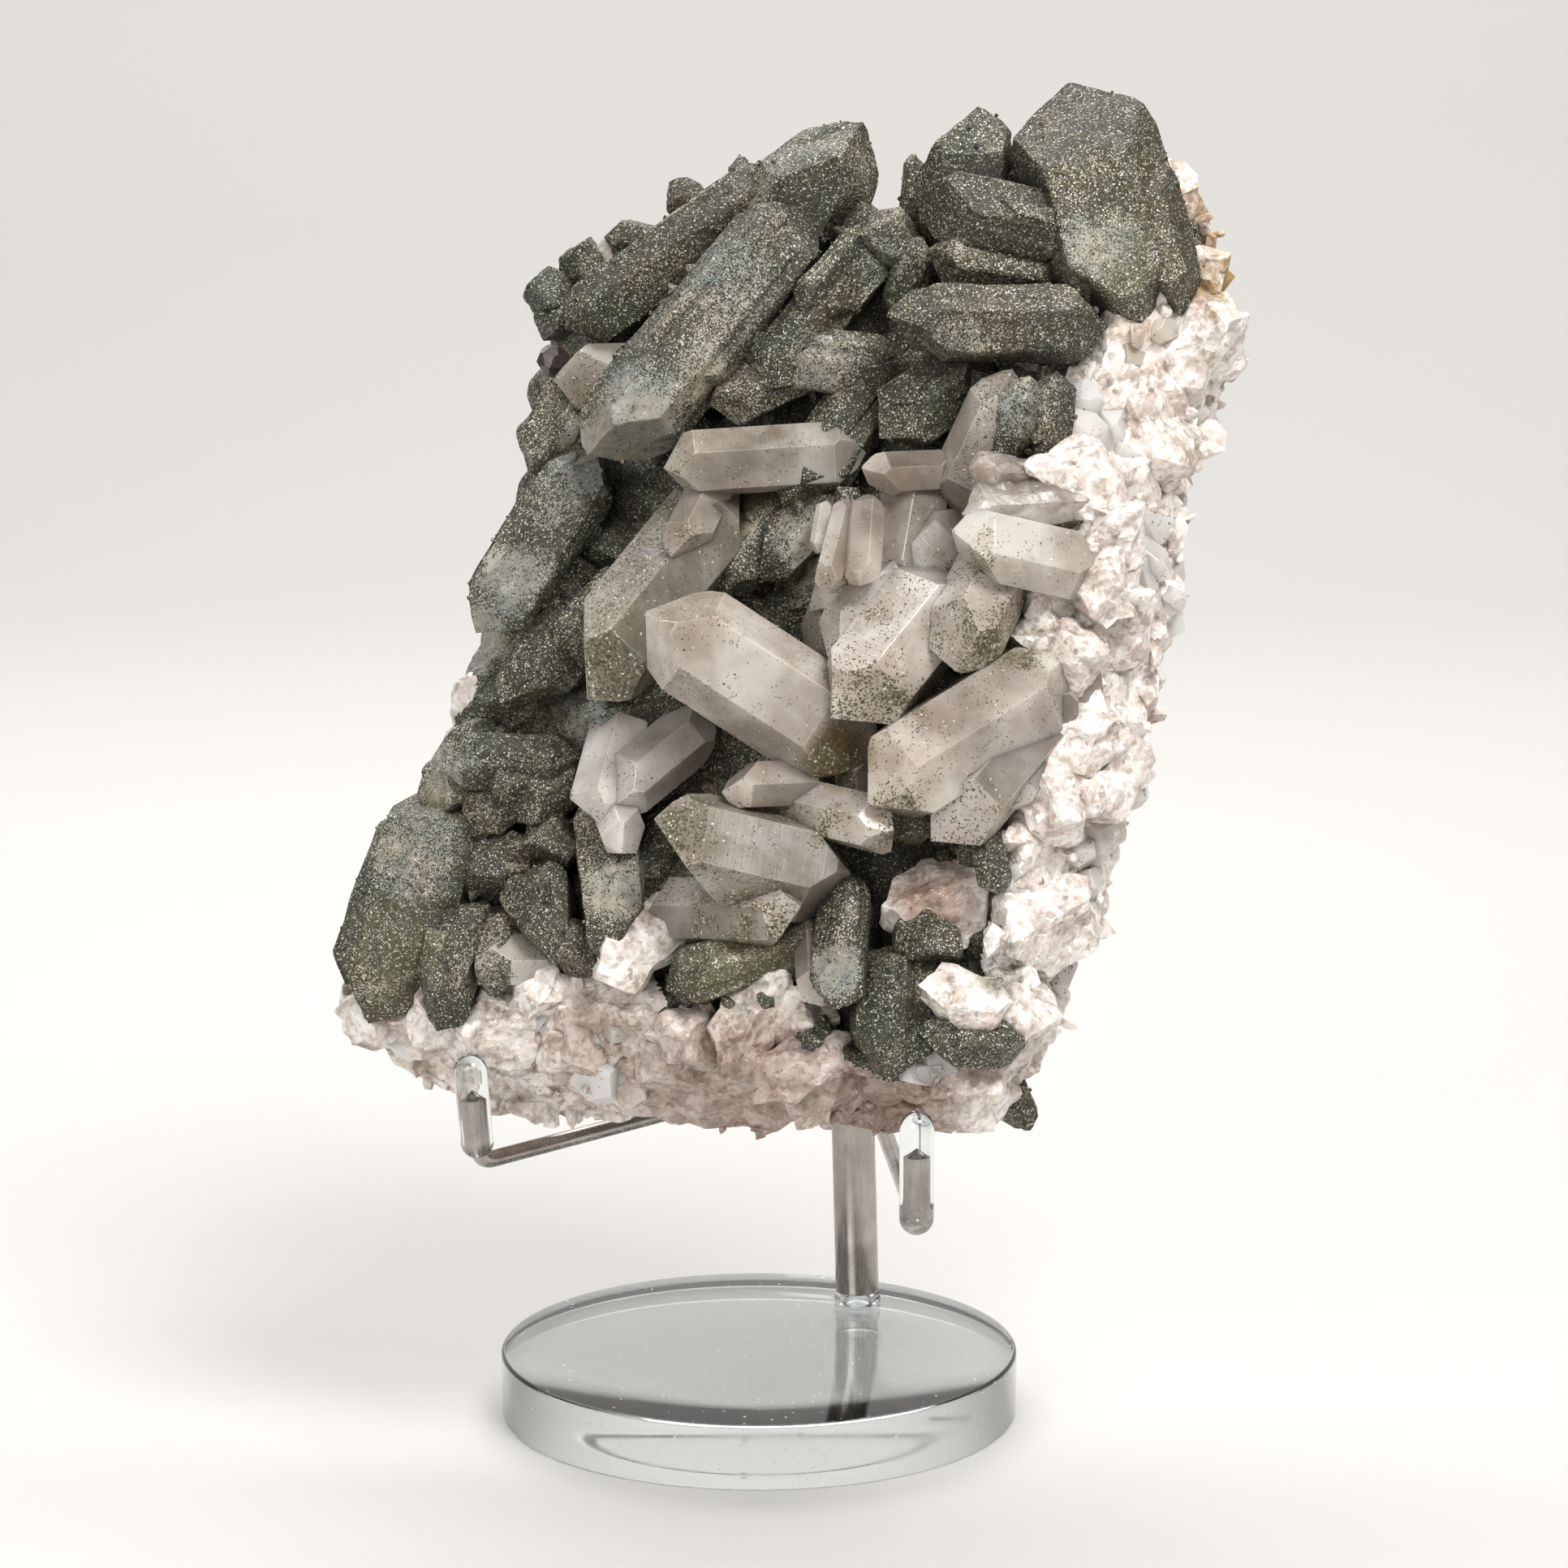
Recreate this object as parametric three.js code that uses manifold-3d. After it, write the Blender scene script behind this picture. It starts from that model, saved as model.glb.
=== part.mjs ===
// A quartz crystal cluster with green chlorite, leaning back on a clear display stand.
// Units are millimetres, +Z is up. The origin is the middle of the stand's base, on the surface it stands on.
// The cluster is one grown-together piece: a broken white matrix plate with crystals all over its front.
import * as THREE from "three";
import * as BufferGeometryUtils from "three/addons/utils/BufferGeometryUtils.js";
import Module from "manifold-3d";

const wasm = await Module();
wasm.setup();

// Driving dimensions of the stand
const BASE_RADIUS = 35;
const BASE_THICKNESS = 8.8;
const BASE_CHAMFER = 0.5;
const POST_FOOT = [13.95, 20.14];
const POST_RADIUS = 3;
const POST_BORE = 2.65;
const POST_TOP = 40.6;
const POST_LEAN = THREE.MathUtils.degToRad(1.57);
const COLLAR_RADIUS = 3.2;
const COLLAR_BORE = 1.6;
const COLLAR_HEIGHT = 1.3;
const GAP = 0.3;
const WIRE_RADIUS = 1.1;
const WIRE_FROM_POST_AXIS = 1.38;
const WIRE_DEPTH_IN_POST = 14;
const WIRE_BEND = 2.6;
const WIRE_BEND_STEPS = 4;
const ARM_HEIGHT = 43;
const SLEEVE_RADIUS = 2.15;
const SLEEVE_PAST_WIRE = 4.5;

// Driving dimensions of the cluster
const PLATE_TURN = THREE.MathUtils.degToRad(20);
const PLATE_LEAN = THREE.MathUtils.degToRad(20);
const PLATE_CENTRE = [4, -24, 112];
const RHOMB_SLOPE = THREE.MathUtils.degToRad(38.2);
const PLATE_STATIONS = 48;
const PLATE_MIDDLE = [-4, 2];
const GOLDEN_TURN = THREE.MathUtils.degToRad(137.508);
const KNOB_FACETS = 11;
const KNOB_ROUGHNESS = 0.12;
const CHUNK_FACETS = 9;
const CHUNK_ROUGHNESS = 0.35;
const CHUNK_SEED = 40;
const STRAY_CRYSTALS = 12;
const BACK_HEIGHT = -27;
const BACK_SLOPE = 0.13;
const BACK_BREAKS = 16;
const BACK_BREAK_DEPTH = 0.8;
const BLOCK = 400;

// Crystal places were measured by eye from one spot. A place is written as the point of the plate's front
// plane that it covers from there, with its height over that plane. That height moves it towards the eye.
const EYE = new THREE.Vector3(213.5, -109.4, 586.4);

// Each crystal: tip and root as [right, up, height] on the plate, its width, the turn of its faces about its
// axis in degrees, and the face of its tip that has grown largest. Blunt is the share of the width
// that is missing from the point.
const COATED_CRYSTALS = [
  { tip: [-36.2, 36, 4], root: [-9.5, 57, -1], width: 8.6, turn: 15, lead: 3 },
  { tip: [0.6, 68.6, 2], root: [-11, 40, -4], width: 15, turn: 20, lead: 5 },
  { tip: [-29.8, 18.4, 11], root: [-6, 52, 4], width: 12.5, turn: 35, lead: 4 },
  { tip: [-9, 29, 5], root: [6, 50, 1], width: 9, turn: 10, lead: 2 },
  { tip: [-6.5, 34.5, 6], root: [10, 33, 0], width: 8, turn: 25, lead: 1 },
  { tip: [-32.5, 50.6, 0], root: [-19, 47.5, -4], width: 5, turn: 5, lead: 2 },
  { tip: [28, 74.6, 0], root: [40.5, 42, -5], width: 17.5, turn: 12, lead: 0, blunt: 0.15 },
  { tip: [15.2, 70, 1], root: [17.4, 50, -4], width: 13, turn: 32, lead: 4 },
  { tip: [9, 56.4, 7], root: [31, 52.4, 0], width: 9.5, turn: 20, lead: 5 },
  { tip: [12, 49, 4], root: [31, 47, -2], width: 7.5, turn: 0, lead: 3 },
  { tip: [9.7, 62.6, -3], root: [10.2, 52, -5], width: 3, turn: 10, lead: 1 },
  { tip: [12.6, 51.5, 4], root: [9.6, 41, -2], width: 4.8, turn: 24, lead: 2 },
  { tip: [7.4, 39.2, 12], root: [35, 39.9, 2], width: 10, turn: 30, lead: 4 },
  { tip: [32.6, 46.5, 2], root: [33, 34, -3], width: 4.4, turn: 8, lead: 1 },
  { tip: [27.6, 34, 10], root: [25.5, 17, 1], width: 5.8, turn: 22, lead: 5 },
  { tip: [31.8, 35, 6], root: [31.5, 17, 0], width: 5, turn: 12, lead: 3 },
  { tip: [8, 24.5, 6], root: [21, 34, 0], width: 10, turn: 5, lead: 0 },
  { tip: [-2, 14, 5], root: [8, 31, -1], width: 9, turn: 28, lead: 4 },
  { tip: [-10.5, 2, 4], root: [-2, 19, -1], width: 7.5, turn: 20, lead: 2 },
  { tip: [-38, 14, 3], root: [-31.5, 35, -1], width: 8, turn: 12, lead: 1 },
  { tip: [-42.3, -5.5, 8], root: [-30, 20, 1], width: 10, turn: 25, lead: 3 },
  { tip: [-37.5, -14.5, 6], root: [-29, -2, 0], width: 9, turn: 5, lead: 4 },
  { tip: [-46.5, -21, 5], root: [-27, -20, 0], width: 8, turn: 15, lead: 2 },
  { tip: [-46.5, -29.5, 3], root: [-40, -17, -1], width: 7.5, turn: 30, lead: 0 },
  { tip: [-50.5, -57, 4], root: [-44.5, -28, -2], width: 13.5, turn: 18, lead: 5 },
  { tip: [-42.5, -56.5, 5], root: [-38, -39, 0], width: 8, turn: 4, lead: 1 },
  { tip: [-38.5, -37, 2], root: [-35.5, -23, -2], width: 5.5, turn: 26, lead: 3 },
  { tip: [-17, -46, 7], root: [-22, -25, 0], width: 8, turn: 12, lead: 4 },
  { tip: [-27.5, -13.5, 4], root: [-11, -10, 0], width: 7, turn: 20, lead: 2 },
  { tip: [-12, -48, 6], root: [9, -39.5, 0], width: 8, turn: 14, lead: 0 },
  { tip: [12.6, -49.5, 8], root: [12, -33, 1], width: 6.8, turn: 22, lead: 5 },
  { tip: [19, -58, 4], root: [19, -42, 0], width: 8.5, turn: 10, lead: 1 },
  { tip: [23.6, -56, 3], root: [23.4, -41, -1], width: 5.5, turn: 30, lead: 3 },
  { tip: [22.5, -51.6, 5], root: [36, -51, -1], width: 6, turn: 6, lead: 4 },
  { tip: [31.8, -33.5, 4], root: [28, -21, -1], width: 4.6, turn: 17, lead: 2 },
  { tip: [38.8, -62.5, -22], root: [34.5, -55, -24], width: 5.5, turn: 11, lead: 1 },
];
const CLEAR_CRYSTALS = [
  { tip: [-21, 1, 19], root: [10, -15.2, 5], width: 12.8, turn: 4, lead: 3 },
  { tip: [-28.6, -11.6, 12], root: [-10.5, 14.5, 2], width: 13, turn: 22, lead: 1 },
  { tip: [-16.3, 7, 13], root: [-11.3, 20, 3], width: 6.5, turn: 12, lead: 4 },
  { tip: [-20.6, 19.6, 12], root: [5, 22.3, 3], width: 7.8, turn: 27, lead: 2 },
  { tip: [-37.2, 30.4, 8], root: [-23, 31.2, 1], width: 8, turn: 33, lead: 5 },
  { tip: [27.2, 34.4, 7], root: [21, 17, 1], width: 9, turn: 18, lead: 1 },
  { tip: [7, 19.6, 11], root: [18.5, 20.6, 3], width: 5.8, turn: 25, lead: 4 },
  { tip: [14.2, 1.5, 5], root: [15.2, 20.5, 1], width: 9.2, turn: 9, lead: 2 },
  { tip: [4.4, 4, 13], root: [6, 15.5, 8], width: 3.4, turn: 12, lead: 0 },
  { tip: [9.3, 4.5, 14], root: [8.7, 16, 9], width: 4.2, turn: 0, lead: 3 },
  { tip: [2.6, 9, 10], root: [2.9, 15.5, 6], width: 2.2, turn: 20, lead: 1 },
  { tip: [21.6, 20.8, 12], root: [34, 21, 2], width: 4, turn: 14, lead: 5 },
  { tip: [20.4, 15.4, 13], root: [38, 17.2, 1], width: 6.2, turn: 28, lead: 2 },
  { tip: [19.3, 11.8, 15], root: [39, 8.5, 2], width: 9, turn: 21, lead: 4 },
  { tip: [21.7, -4.8, 14], root: [27.8, 11.5, 2], width: 9.6, turn: 31, lead: 0 },
  { tip: [7.3, -14.2, 12], root: [21.5, 6.5, 2], width: 13.5, turn: 16, lead: 3 },
  { tip: [11.4, -23, 13], root: [35.5, -5.5, 1], width: 13, turn: 7, lead: 2 },
  { tip: [22.3, -27.4, 8], root: [37, -7, -1], width: 10, turn: 24, lead: 5 },
  { tip: [29.5, -22.5, 4], root: [39.5, -4, -4], width: 8, turn: 15, lead: 1 },
  { tip: [18.6, -25.5, 11], root: [2, -23, 3], width: 7.6, turn: 29, lead: 3 },
  { tip: [-16.6, -28, 16], root: [9.8, -32, 3], width: 12.6, turn: 11, lead: 4 },
  { tip: [-7, -21.6, 14], root: [6.5, -20.2, 5], width: 5.8, turn: 19, lead: 1 },
  { tip: [7.4, -37, 10], root: [-13, -38.2, 2], width: 8, turn: 26, lead: 2 },
  { tip: [1.5, 2.8, 5], root: [10, -6, -1], width: 6.5, turn: 8, lead: 5 },
  { tip: [10, -48.8, 7], root: [7.8, -38, 1], width: 5, turn: 30, lead: 0 },
  { tip: [-32.6, 49.9, -1], root: [-29, 43, -3], width: 3.2, turn: 10, lead: 4 },
];
const MILKY_CRYSTALS = [
  { tip: [-23, -28.5, 8], root: [-20.3, -11.5, 1], width: 7.6, turn: 23, lead: 2 },
  { tip: [-17.8, -31.2, 9], root: [-22.6, -22, 2], width: 6, turn: 13, lead: 4 },
  { tip: [-22.6, -25.4, 9], root: [-10.4, -14, 1], width: 7.6, turn: 34, lead: 0 },
  { tip: [-20, -48, 8], root: [-9, -37.5, 0], width: 8, turn: 18, lead: 5 },
  { tip: [-37.4, -46.6, 5], root: [-25.5, -45.4, -1], width: 6.6, turn: 27, lead: 3 },
  { tip: [-2.5, -61, 1], root: [3.8, -43.5, 0], width: 8.6, turn: 9, lead: 1 },
  { tip: [2.5, -61, 1], root: [13, -52.5, -1], width: 7.4, turn: 21, lead: 2 },
  { tip: [22, -46, 8], root: [34, -47, 0], width: 7.4, turn: 16, lead: 4 },
  { tip: [23.4, -35.5, 7], root: [24.6, -34.4, -6], width: 13.5, turn: 20, lead: 0, blunt: 0.45 },
  { tip: [39.4, 48.2, 0], root: [45, 42, -6], width: 5.4, turn: 12, lead: 3 },
];

// Round coated knobs and bumps, as [right, up, height, radius]. The fourth is a small dark crystal ball.
const KNOBS = [
  [-38.2, 41.8, 0, 2.9],
  [-37, 39, 0, 2.6],
  [-34.2, 45.8, -1, 3],
  [-36.8, 32.4, 4, 1.9],
  [-21.4, 55.2, -2, 2.5],
  [-16.8, 56.3, -2, 1.3],
  [-13.9, 59.3, -2, 1.5],
  [7.8, 51, 3, 3.4],
  [-28, -30.4, 1, 3.2],
  [-33.4, -32.6, 1, 2.9],
  [-30, -38.6, 2, 4],
  [-41.5, -46, 3, 3.6],
  [-22.6, -43.6, 2, 3.5],
  [-35, -22, 2, 3.6],
  [6.2, 16, 8, 1.8],
  [0.5, 42, 2, 3.8],
];

// Broken chunks of white matrix along the lower and right edges, as [right, up, height, size]
const CHUNKS = [
  [-53, -54, -6, 5],
  [-33, -53.5, -4, 6],
  [-24, -54, -5, 5.5],
  [-12, -55.5, -7, 5.5],
  [9, -57, -5, 5.5],
  [29, -55, -6, 6],
  [34, -47, -4, 5.5],
  [36, -36, -6, 6.5],
  [40, -15, -8, 7],
  [39, 4, -6, 6.5],
  [38, 21, -5, 6],
  [42, 27, -8, 6.5],
  [47, 42, -10, 6.5],
  [41, 59, -8, 5.5],
];

// Edge of the plate's front, as [right, up, height], counter-clockwise from the right
const FRONT_RIM = [
  [35, 10, 1], [34, 20, 1], [36, 28, 0], [39, 38, 0], [42, 47, -1], [41, 56, -1], [36, 62, -2], [28, 64, -3],
  [18, 61, -4], [11, 52, -5], [5, 49, -5], [-4, 57, -4], [-15, 51, -4], [-25, 45, -3], [-33, 40, -3],
  [-36, 30, -3], [-37, 18, -3], [-39, 6, -3], [-41, -6, -2], [-44, -16, -2], [-46, -24, -2], [-50, -33, -2],
  [-53, -42, -2], [-52, -52, -1], [-48, -56, 0], [-37, -54.5, 1], [-30, -52, 1], [-15, -52, 1], [0, -54, 1],
  [8, -55, 1], [20, -56, 0], [31, -53, 0], [34, -48, 0], [33, -38, 0], [34, -22, 0], [36, -5, 0],
];
// Widest outline of the plate, seen edge on
const WAIST = [
  [46, 10, -12], [45, 20, -12], [47, 27, -12], [49, 37, -12], [51, 46, -11], [49, 51, -11], [44.5, 59, -11],
  [36, 67.5, -11], [28, 70, -11], [18, 66, -12], [11, 57, -13], [5, 52, -13], [-4, 62, -12], [-14, 57, -12],
  [-25, 51.5, -12], [-36, 47, -11], [-42, 38, -10], [-43.5, 26, -10], [-44, 15, -10], [-45, 5, -10],
  [-46, -6, -9], [-49, -14, -9], [-52.5, -25, -9], [-56, -32, -9], [-58, -42, -9], [-58.5, -50, -9],
  [-61, -57.5, -10], [-50, -62, -14], [-40, -64, -15], [-32, -65.2, -15], [-20, -64.2, -17],
  [-10, -63.4, -20], [5, -62, -22], [18, -62, -23], [29, -60, -14], [36, -52, -12], [38, -45, -12],
  [40, -33, -12], [43, -22, -12], [44.5, -8, -12], [46, 2, -12],
];
// Edge of the plate's back
const BACK_RIM = [
  [41, 10, -28], [41, 28, -28], [45, 42, -27], [43, 53, -26], [36, 62, -26], [26, 65, -26], [16, 60, -27],
  [6, 50, -27], [-5, 56, -25], [-16, 52, -24], [-28, 47, -22], [-38, 38, -20], [-41, 22, -19], [-42, 2, -18],
  [-45, -14, -18], [-51, -28, -18], [-54, -44, -17], [-57, -55, -17], [-48, -60, -19], [-36, -62, -20],
  [-20, -61.6, -22], [-6, -60.6, -26], [10, -59.8, -30], [22, -59.6, -30], [31, -53, -30], [34, -40, -30],
  [37, -25, -30], [39, -8, -29],
];

// A repeatable number between 0 and 1 for a pair of whole numbers
function scatter(i, k) {
  const s = Math.sin(i * 12.9898 + k * 78.233) * 43758.5453;
  return s - Math.floor(s);
}

// The solid of a closed geometry, moved by a matrix
function solidOf(geometry, matrix = new THREE.Matrix4()) {
  let plain = geometry.clone().applyMatrix4(matrix);
  plain.deleteAttribute("normal");
  plain.deleteAttribute("uv");
  plain = BufferGeometryUtils.mergeVertices(plain, 1e-4);
  return new wasm.Manifold(
    new wasm.Mesh({
      numProp: 3,
      vertProperties: new Float32Array(plain.attributes.position.array),
      triVerts: new Uint32Array(plain.index.array),
    }),
  );
}

// The geometry of a solid
function geometryOf(solid) {
  const mesh = solid.getMesh();
  const points = new Float32Array(mesh.numVert * 3);
  for (let i = 0; i < mesh.numVert; i += 1) {
    const from = i * mesh.numProp;
    points.set(mesh.vertProperties.subarray(from, from + 3), i * 3);
  }
  const geometry = new THREE.BufferGeometry();
  geometry.setAttribute("position", new THREE.BufferAttribute(points, 3));
  geometry.setIndex(new THREE.BufferAttribute(mesh.triVerts, 1));
  geometry.computeVertexNormals();
  return geometry;
}

// What is left of a body when it is cut by a set of planes. It begins as a large block.
function bodyInside(planes, start = solidOf(new THREE.BoxGeometry(BLOCK, BLOCK, BLOCK))) {
  let body = start;
  for (const plane of planes) {
    body = body.trimByPlane(plane.normal.clone().negate().toArray(), plane.constant);
  }
  return body;
}

// The real place of a point that was seen on the front plane, at a height over it
function place([right, up, height]) {
  const seen = new THREE.Vector3(right, up, 0);
  const toEye = EYE.clone().sub(seen);
  return seen.addScaledVector(toEye, height / EYE.z);
}

// The planes of a quartz crystal: six prism faces of uneven distance, and a six-faced point at both ends.
// Three faces of a point stand further out than the other three, and one of them has grown over the rest.
function crystalPlanes({ tip, root, width, turn, lead, blunt = 0 }, seed) {
  const top = place(tip);
  const foot = place(root);
  const axis = top.clone().sub(foot);
  const length = axis.length();
  axis.normalize();
  const outward = Math.abs(axis.z) > 0.95 ? new THREE.Vector3(0, 1, 0) : new THREE.Vector3(0, 0, 1);
  const first = outward.addScaledVector(axis, -outward.dot(axis)).normalize();
  first.applyAxisAngle(axis, THREE.MathUtils.degToRad(turn));
  const second = axis.clone().cross(first);
  const apothem = width / 2;
  const planes = [];
  for (let k = 0; k < 6; k += 1) {
    const angle = (k * Math.PI) / 3;
    const side = first.clone().multiplyScalar(Math.cos(angle)).addScaledVector(second, Math.sin(angle));
    const reach = apothem * (0.84 + 0.2 * scatter(seed, k));
    planes.push(new THREE.Plane(side, -side.dot(foot) - reach));
    const minor = k % 2 === lead % 2 ? 0 : 0.22 + 0.3 * scatter(seed, k + 6);
    const cut = k === lead ? 0.55 : 0;
    const flat = side.clone().multiplyScalar(Math.cos(RHOMB_SLOPE));
    const slope = flat.clone().addScaledVector(axis, Math.sin(RHOMB_SLOPE));
    const tipPoint = top.clone().addScaledVector(axis, (minor - cut) * apothem);
    planes.push(new THREE.Plane(slope, -slope.dot(tipPoint)));
    const back = flat.clone().addScaledVector(axis, -Math.sin(RHOMB_SLOPE));
    const backPoint = foot.clone().addScaledVector(axis, -(1 - minor) * apothem);
    planes.push(new THREE.Plane(back, -back.dot(backPoint)));
  }
  if (blunt > 0) {
    const lid = axis.clone().applyAxisAngle(first, 0.2);
    planes.push(new THREE.Plane(lid, -lid.dot(foot) - length + blunt * width));
  }
  return planes;
}

// The planes of a lump, all round it at uneven distances. Their directions follow a spiral on a sphere.
function lumpPlanes(middle, radius, facets, roughness, seed) {
  const planes = [];
  for (let k = 0; k < facets; k += 1) {
    const z = 1 - (2 * (k + 0.5)) / facets;
    const angle = k * GOLDEN_TURN + 2 * Math.PI * scatter(seed, 50);
    const flat = Math.sqrt(1 - z * z);
    const side = new THREE.Vector3(flat * Math.cos(angle), flat * Math.sin(angle), z);
    side.x += 0.25 * (scatter(seed, k) - 0.5);
    side.y += 0.25 * (scatter(seed, k + 20) - 0.5);
    side.normalize();
    const reach = radius * (1 - roughness * scatter(seed, k + 40));
    planes.push(new THREE.Plane(side, -side.dot(middle) - reach));
  }
  return planes;
}

// The distance from the plate's middle to an outline in one direction, with the height there
function reachOf(outline, angle) {
  const [cu, cv] = PLATE_MIDDLE;
  const du = Math.cos(angle);
  const dv = Math.sin(angle);
  let best = [0, 0];
  outline.forEach(([u0, v0, w0], n) => {
    const [u1, v1, w1] = outline[(n + 1) % outline.length];
    const eu = u1 - u0;
    const ev = v1 - v0;
    const cross = du * ev - dv * eu;
    if (Math.abs(cross) < 1e-9) return;
    const reach = ((u0 - cu) * ev - (v0 - cv) * eu) / cross;
    const share = ((u0 - cu) * dv - (v0 - cv) * du) / cross;
    if (reach > best[0] && share >= 0 && share <= 1) best = [reach, w0 + share * (w1 - w0)];
  });
  return best;
}

// How far broken rock stands out at a point: every cell of a jittered grid has its own tilted facet
function facet(point, cell, seed) {
  let nearest = Infinity;
  let height = 0;
  const base = point.clone().divideScalar(cell).floor();
  for (let n = 0; n < 27; n += 1) {
    const x = base.x + (n % 3) - 1;
    const y = base.y + (Math.floor(n / 3) % 3) - 1;
    const z = base.z + Math.floor(n / 9) - 1;
    const id = x * 7 + y * 57 + z * 113 + seed;
    const seedPoint = new THREE.Vector3(x + scatter(id, 1), y + scatter(id, 2), z + scatter(id, 3));
    const away = point.clone().divideScalar(cell).sub(seedPoint);
    const distance = away.lengthSq();
    if (distance < nearest) {
      nearest = distance;
      const tilt = new THREE.Vector3(scatter(id, 4) - 0.5, scatter(id, 5) - 0.5, scatter(id, 6) - 0.5);
      height = away.dot(tilt) + 0.6 * (scatter(id, 7) - 0.5);
    }
  }
  return height * cell;
}

// The height of the plate's back, which is thicker on the right than on the left
function backAt(u) {
  return BACK_HEIGHT - BACK_SLOPE * (u - PLATE_MIDDLE[0]);
}

// Large flat breaks across the plate's back, each with its own tilt
function backBreaks() {
  const planes = [];
  for (let k = 0; k < BACK_BREAKS; k += 1) {
    const angle = k * GOLDEN_TURN;
    const out = 0.3 + 0.7 * scatter(k, 31);
    const u = PLATE_MIDDLE[0] + 28 * out * Math.cos(angle);
    const v = PLATE_MIDDLE[1] + 42 * out * Math.sin(angle);
    const tilt = 0.05 + out * (0.12 + 0.2 * scatter(k, 32));
    const side = new THREE.Vector3(tilt * Math.cos(angle) - BACK_SLOPE, tilt * Math.sin(angle), -1);
    side.normalize();
    const middle = new THREE.Vector3(u, v, backAt(u) + BACK_BREAK_DEPTH);
    planes.push(new THREE.Plane().setFromNormalAndCoplanarPoint(side, middle));
  }
  return planes;
}

// The matrix plate: rings from the middle of the front, over its edge and round to the middle of the back
function matrixPlate() {
  const [cu, cv] = PLATE_MIDDLE;
  const rings = [];
  for (let s = 0; s < PLATE_STATIONS; s += 1) {
    const angle = (s / PLATE_STATIONS) * 2 * Math.PI;
    const [front, frontHeight] = reachOf(FRONT_RIM, angle);
    const [waist, waistHeight] = reachOf(WAIST, angle);
    const [back, backHeight] = reachOf(BACK_RIM, angle);
    const profile = [
      [0.22 * front, -3],
      [0.45 * front, -3.5],
      [0.66 * front, -3],
      [0.84 * front, -2.5],
      [front, frontHeight],
      [front + 0.6 * (waist - front), frontHeight + 0.45 * (waistHeight - frontHeight)],
      [waist, waistHeight],
      [waist + 0.35 * (back - waist), waistHeight + 0.55 * (backHeight - waistHeight)],
      [back, backHeight],
      [0.78 * back, backHeight - 2],
      [0.5 * back, backAt(cu + 0.5 * back * Math.cos(angle))],
    ];
    const [du, dv] = [Math.cos(angle), Math.sin(angle)];
    rings.push(profile.map(([r, w]) => new THREE.Vector3(cu + r * du, cv + r * dv, w)));
  }
  const across = rings[0].length;
  const points = [];
  for (const ring of rings) {
    ring.forEach((p, n) => {
      const rim = n >= 4 && n <= 8;
      const out = new THREE.Vector3(p.x - cu, p.y - cv, 0).normalize();
      const lift = 0.42 * facet(p, 10, 3) + 0.3 * facet(p, 5, 9);
      if (rim) points.push(p.clone().addScaledVector(out, 0.9 * lift - 0.6));
      else points.push(p.clone().add(new THREE.Vector3(0, 0, n < 4 ? lift : -lift)));
    });
  }
  const frontPole = points.length;
  points.push(new THREE.Vector3(cu, cv, -3));
  const backPole = points.length;
  points.push(new THREE.Vector3(cu, cv, BACK_HEIGHT));
  const index = [];
  for (let s = 0; s < PLATE_STATIONS; s += 1) {
    const here = s * across;
    const next = ((s + 1) % PLATE_STATIONS) * across;
    index.push(frontPole, here, next);
    index.push(backPole, next + across - 1, here + across - 1);
    for (let n = 0; n + 1 < across; n += 1) {
      index.push(here + n, here + n + 1, next + n + 1);
      index.push(here + n, next + n + 1, next + n);
    }
  }
  const geometry = new THREE.BufferGeometry();
  geometry.setAttribute("position", new THREE.Float32BufferAttribute(points.flatMap((p) => p.toArray()), 3));
  geometry.setIndex(index);
  return geometry;
}

// Small crystals on the plate's back and upper edge, leaning out at random
function strayCrystals() {
  const found = [];
  for (let i = 0; i < STRAY_CRYSTALS; i += 1) {
    const angle = 0.35 + (i / STRAY_CRYSTALS) * 2.5 + 0.1 * scatter(i, 1);
    const [reach, height] = reachOf(WAIST, angle);
    const [cu, cv] = PLATE_MIDDLE;
    const r = reach - 3 - 5 * scatter(i, 2);
    const w = height - 3 - 13 * scatter(i, 3);
    const long = 5 + 4 * scatter(i, 4);
    const foot = [cu + r * Math.cos(angle), cv + r * Math.sin(angle), w];
    const lean = angle + 1.4 * (scatter(i, 5) - 0.5);
    const tip = [foot[0] + long * Math.cos(lean), foot[1] + long * Math.sin(lean), w - 3 * scatter(i, 6)];
    found.push({ tip, root: foot, width: 3 + 3 * scatter(i, 7), turn: 60 * scatter(i, 8), lead: i % 6 });
  }
  return found;
}

// A place inside the post, at a height over the surface, and off its leaning axis
function alongPost(height, angle = 0, off = 0) {
  const sideways = -Math.tan(POST_LEAN) * height;
  return new THREE.Vector3(
    POST_FOOT[0] + sideways + off * Math.cos(angle),
    POST_FOOT[1] + off * Math.sin(angle),
    height,
  );
}

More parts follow.
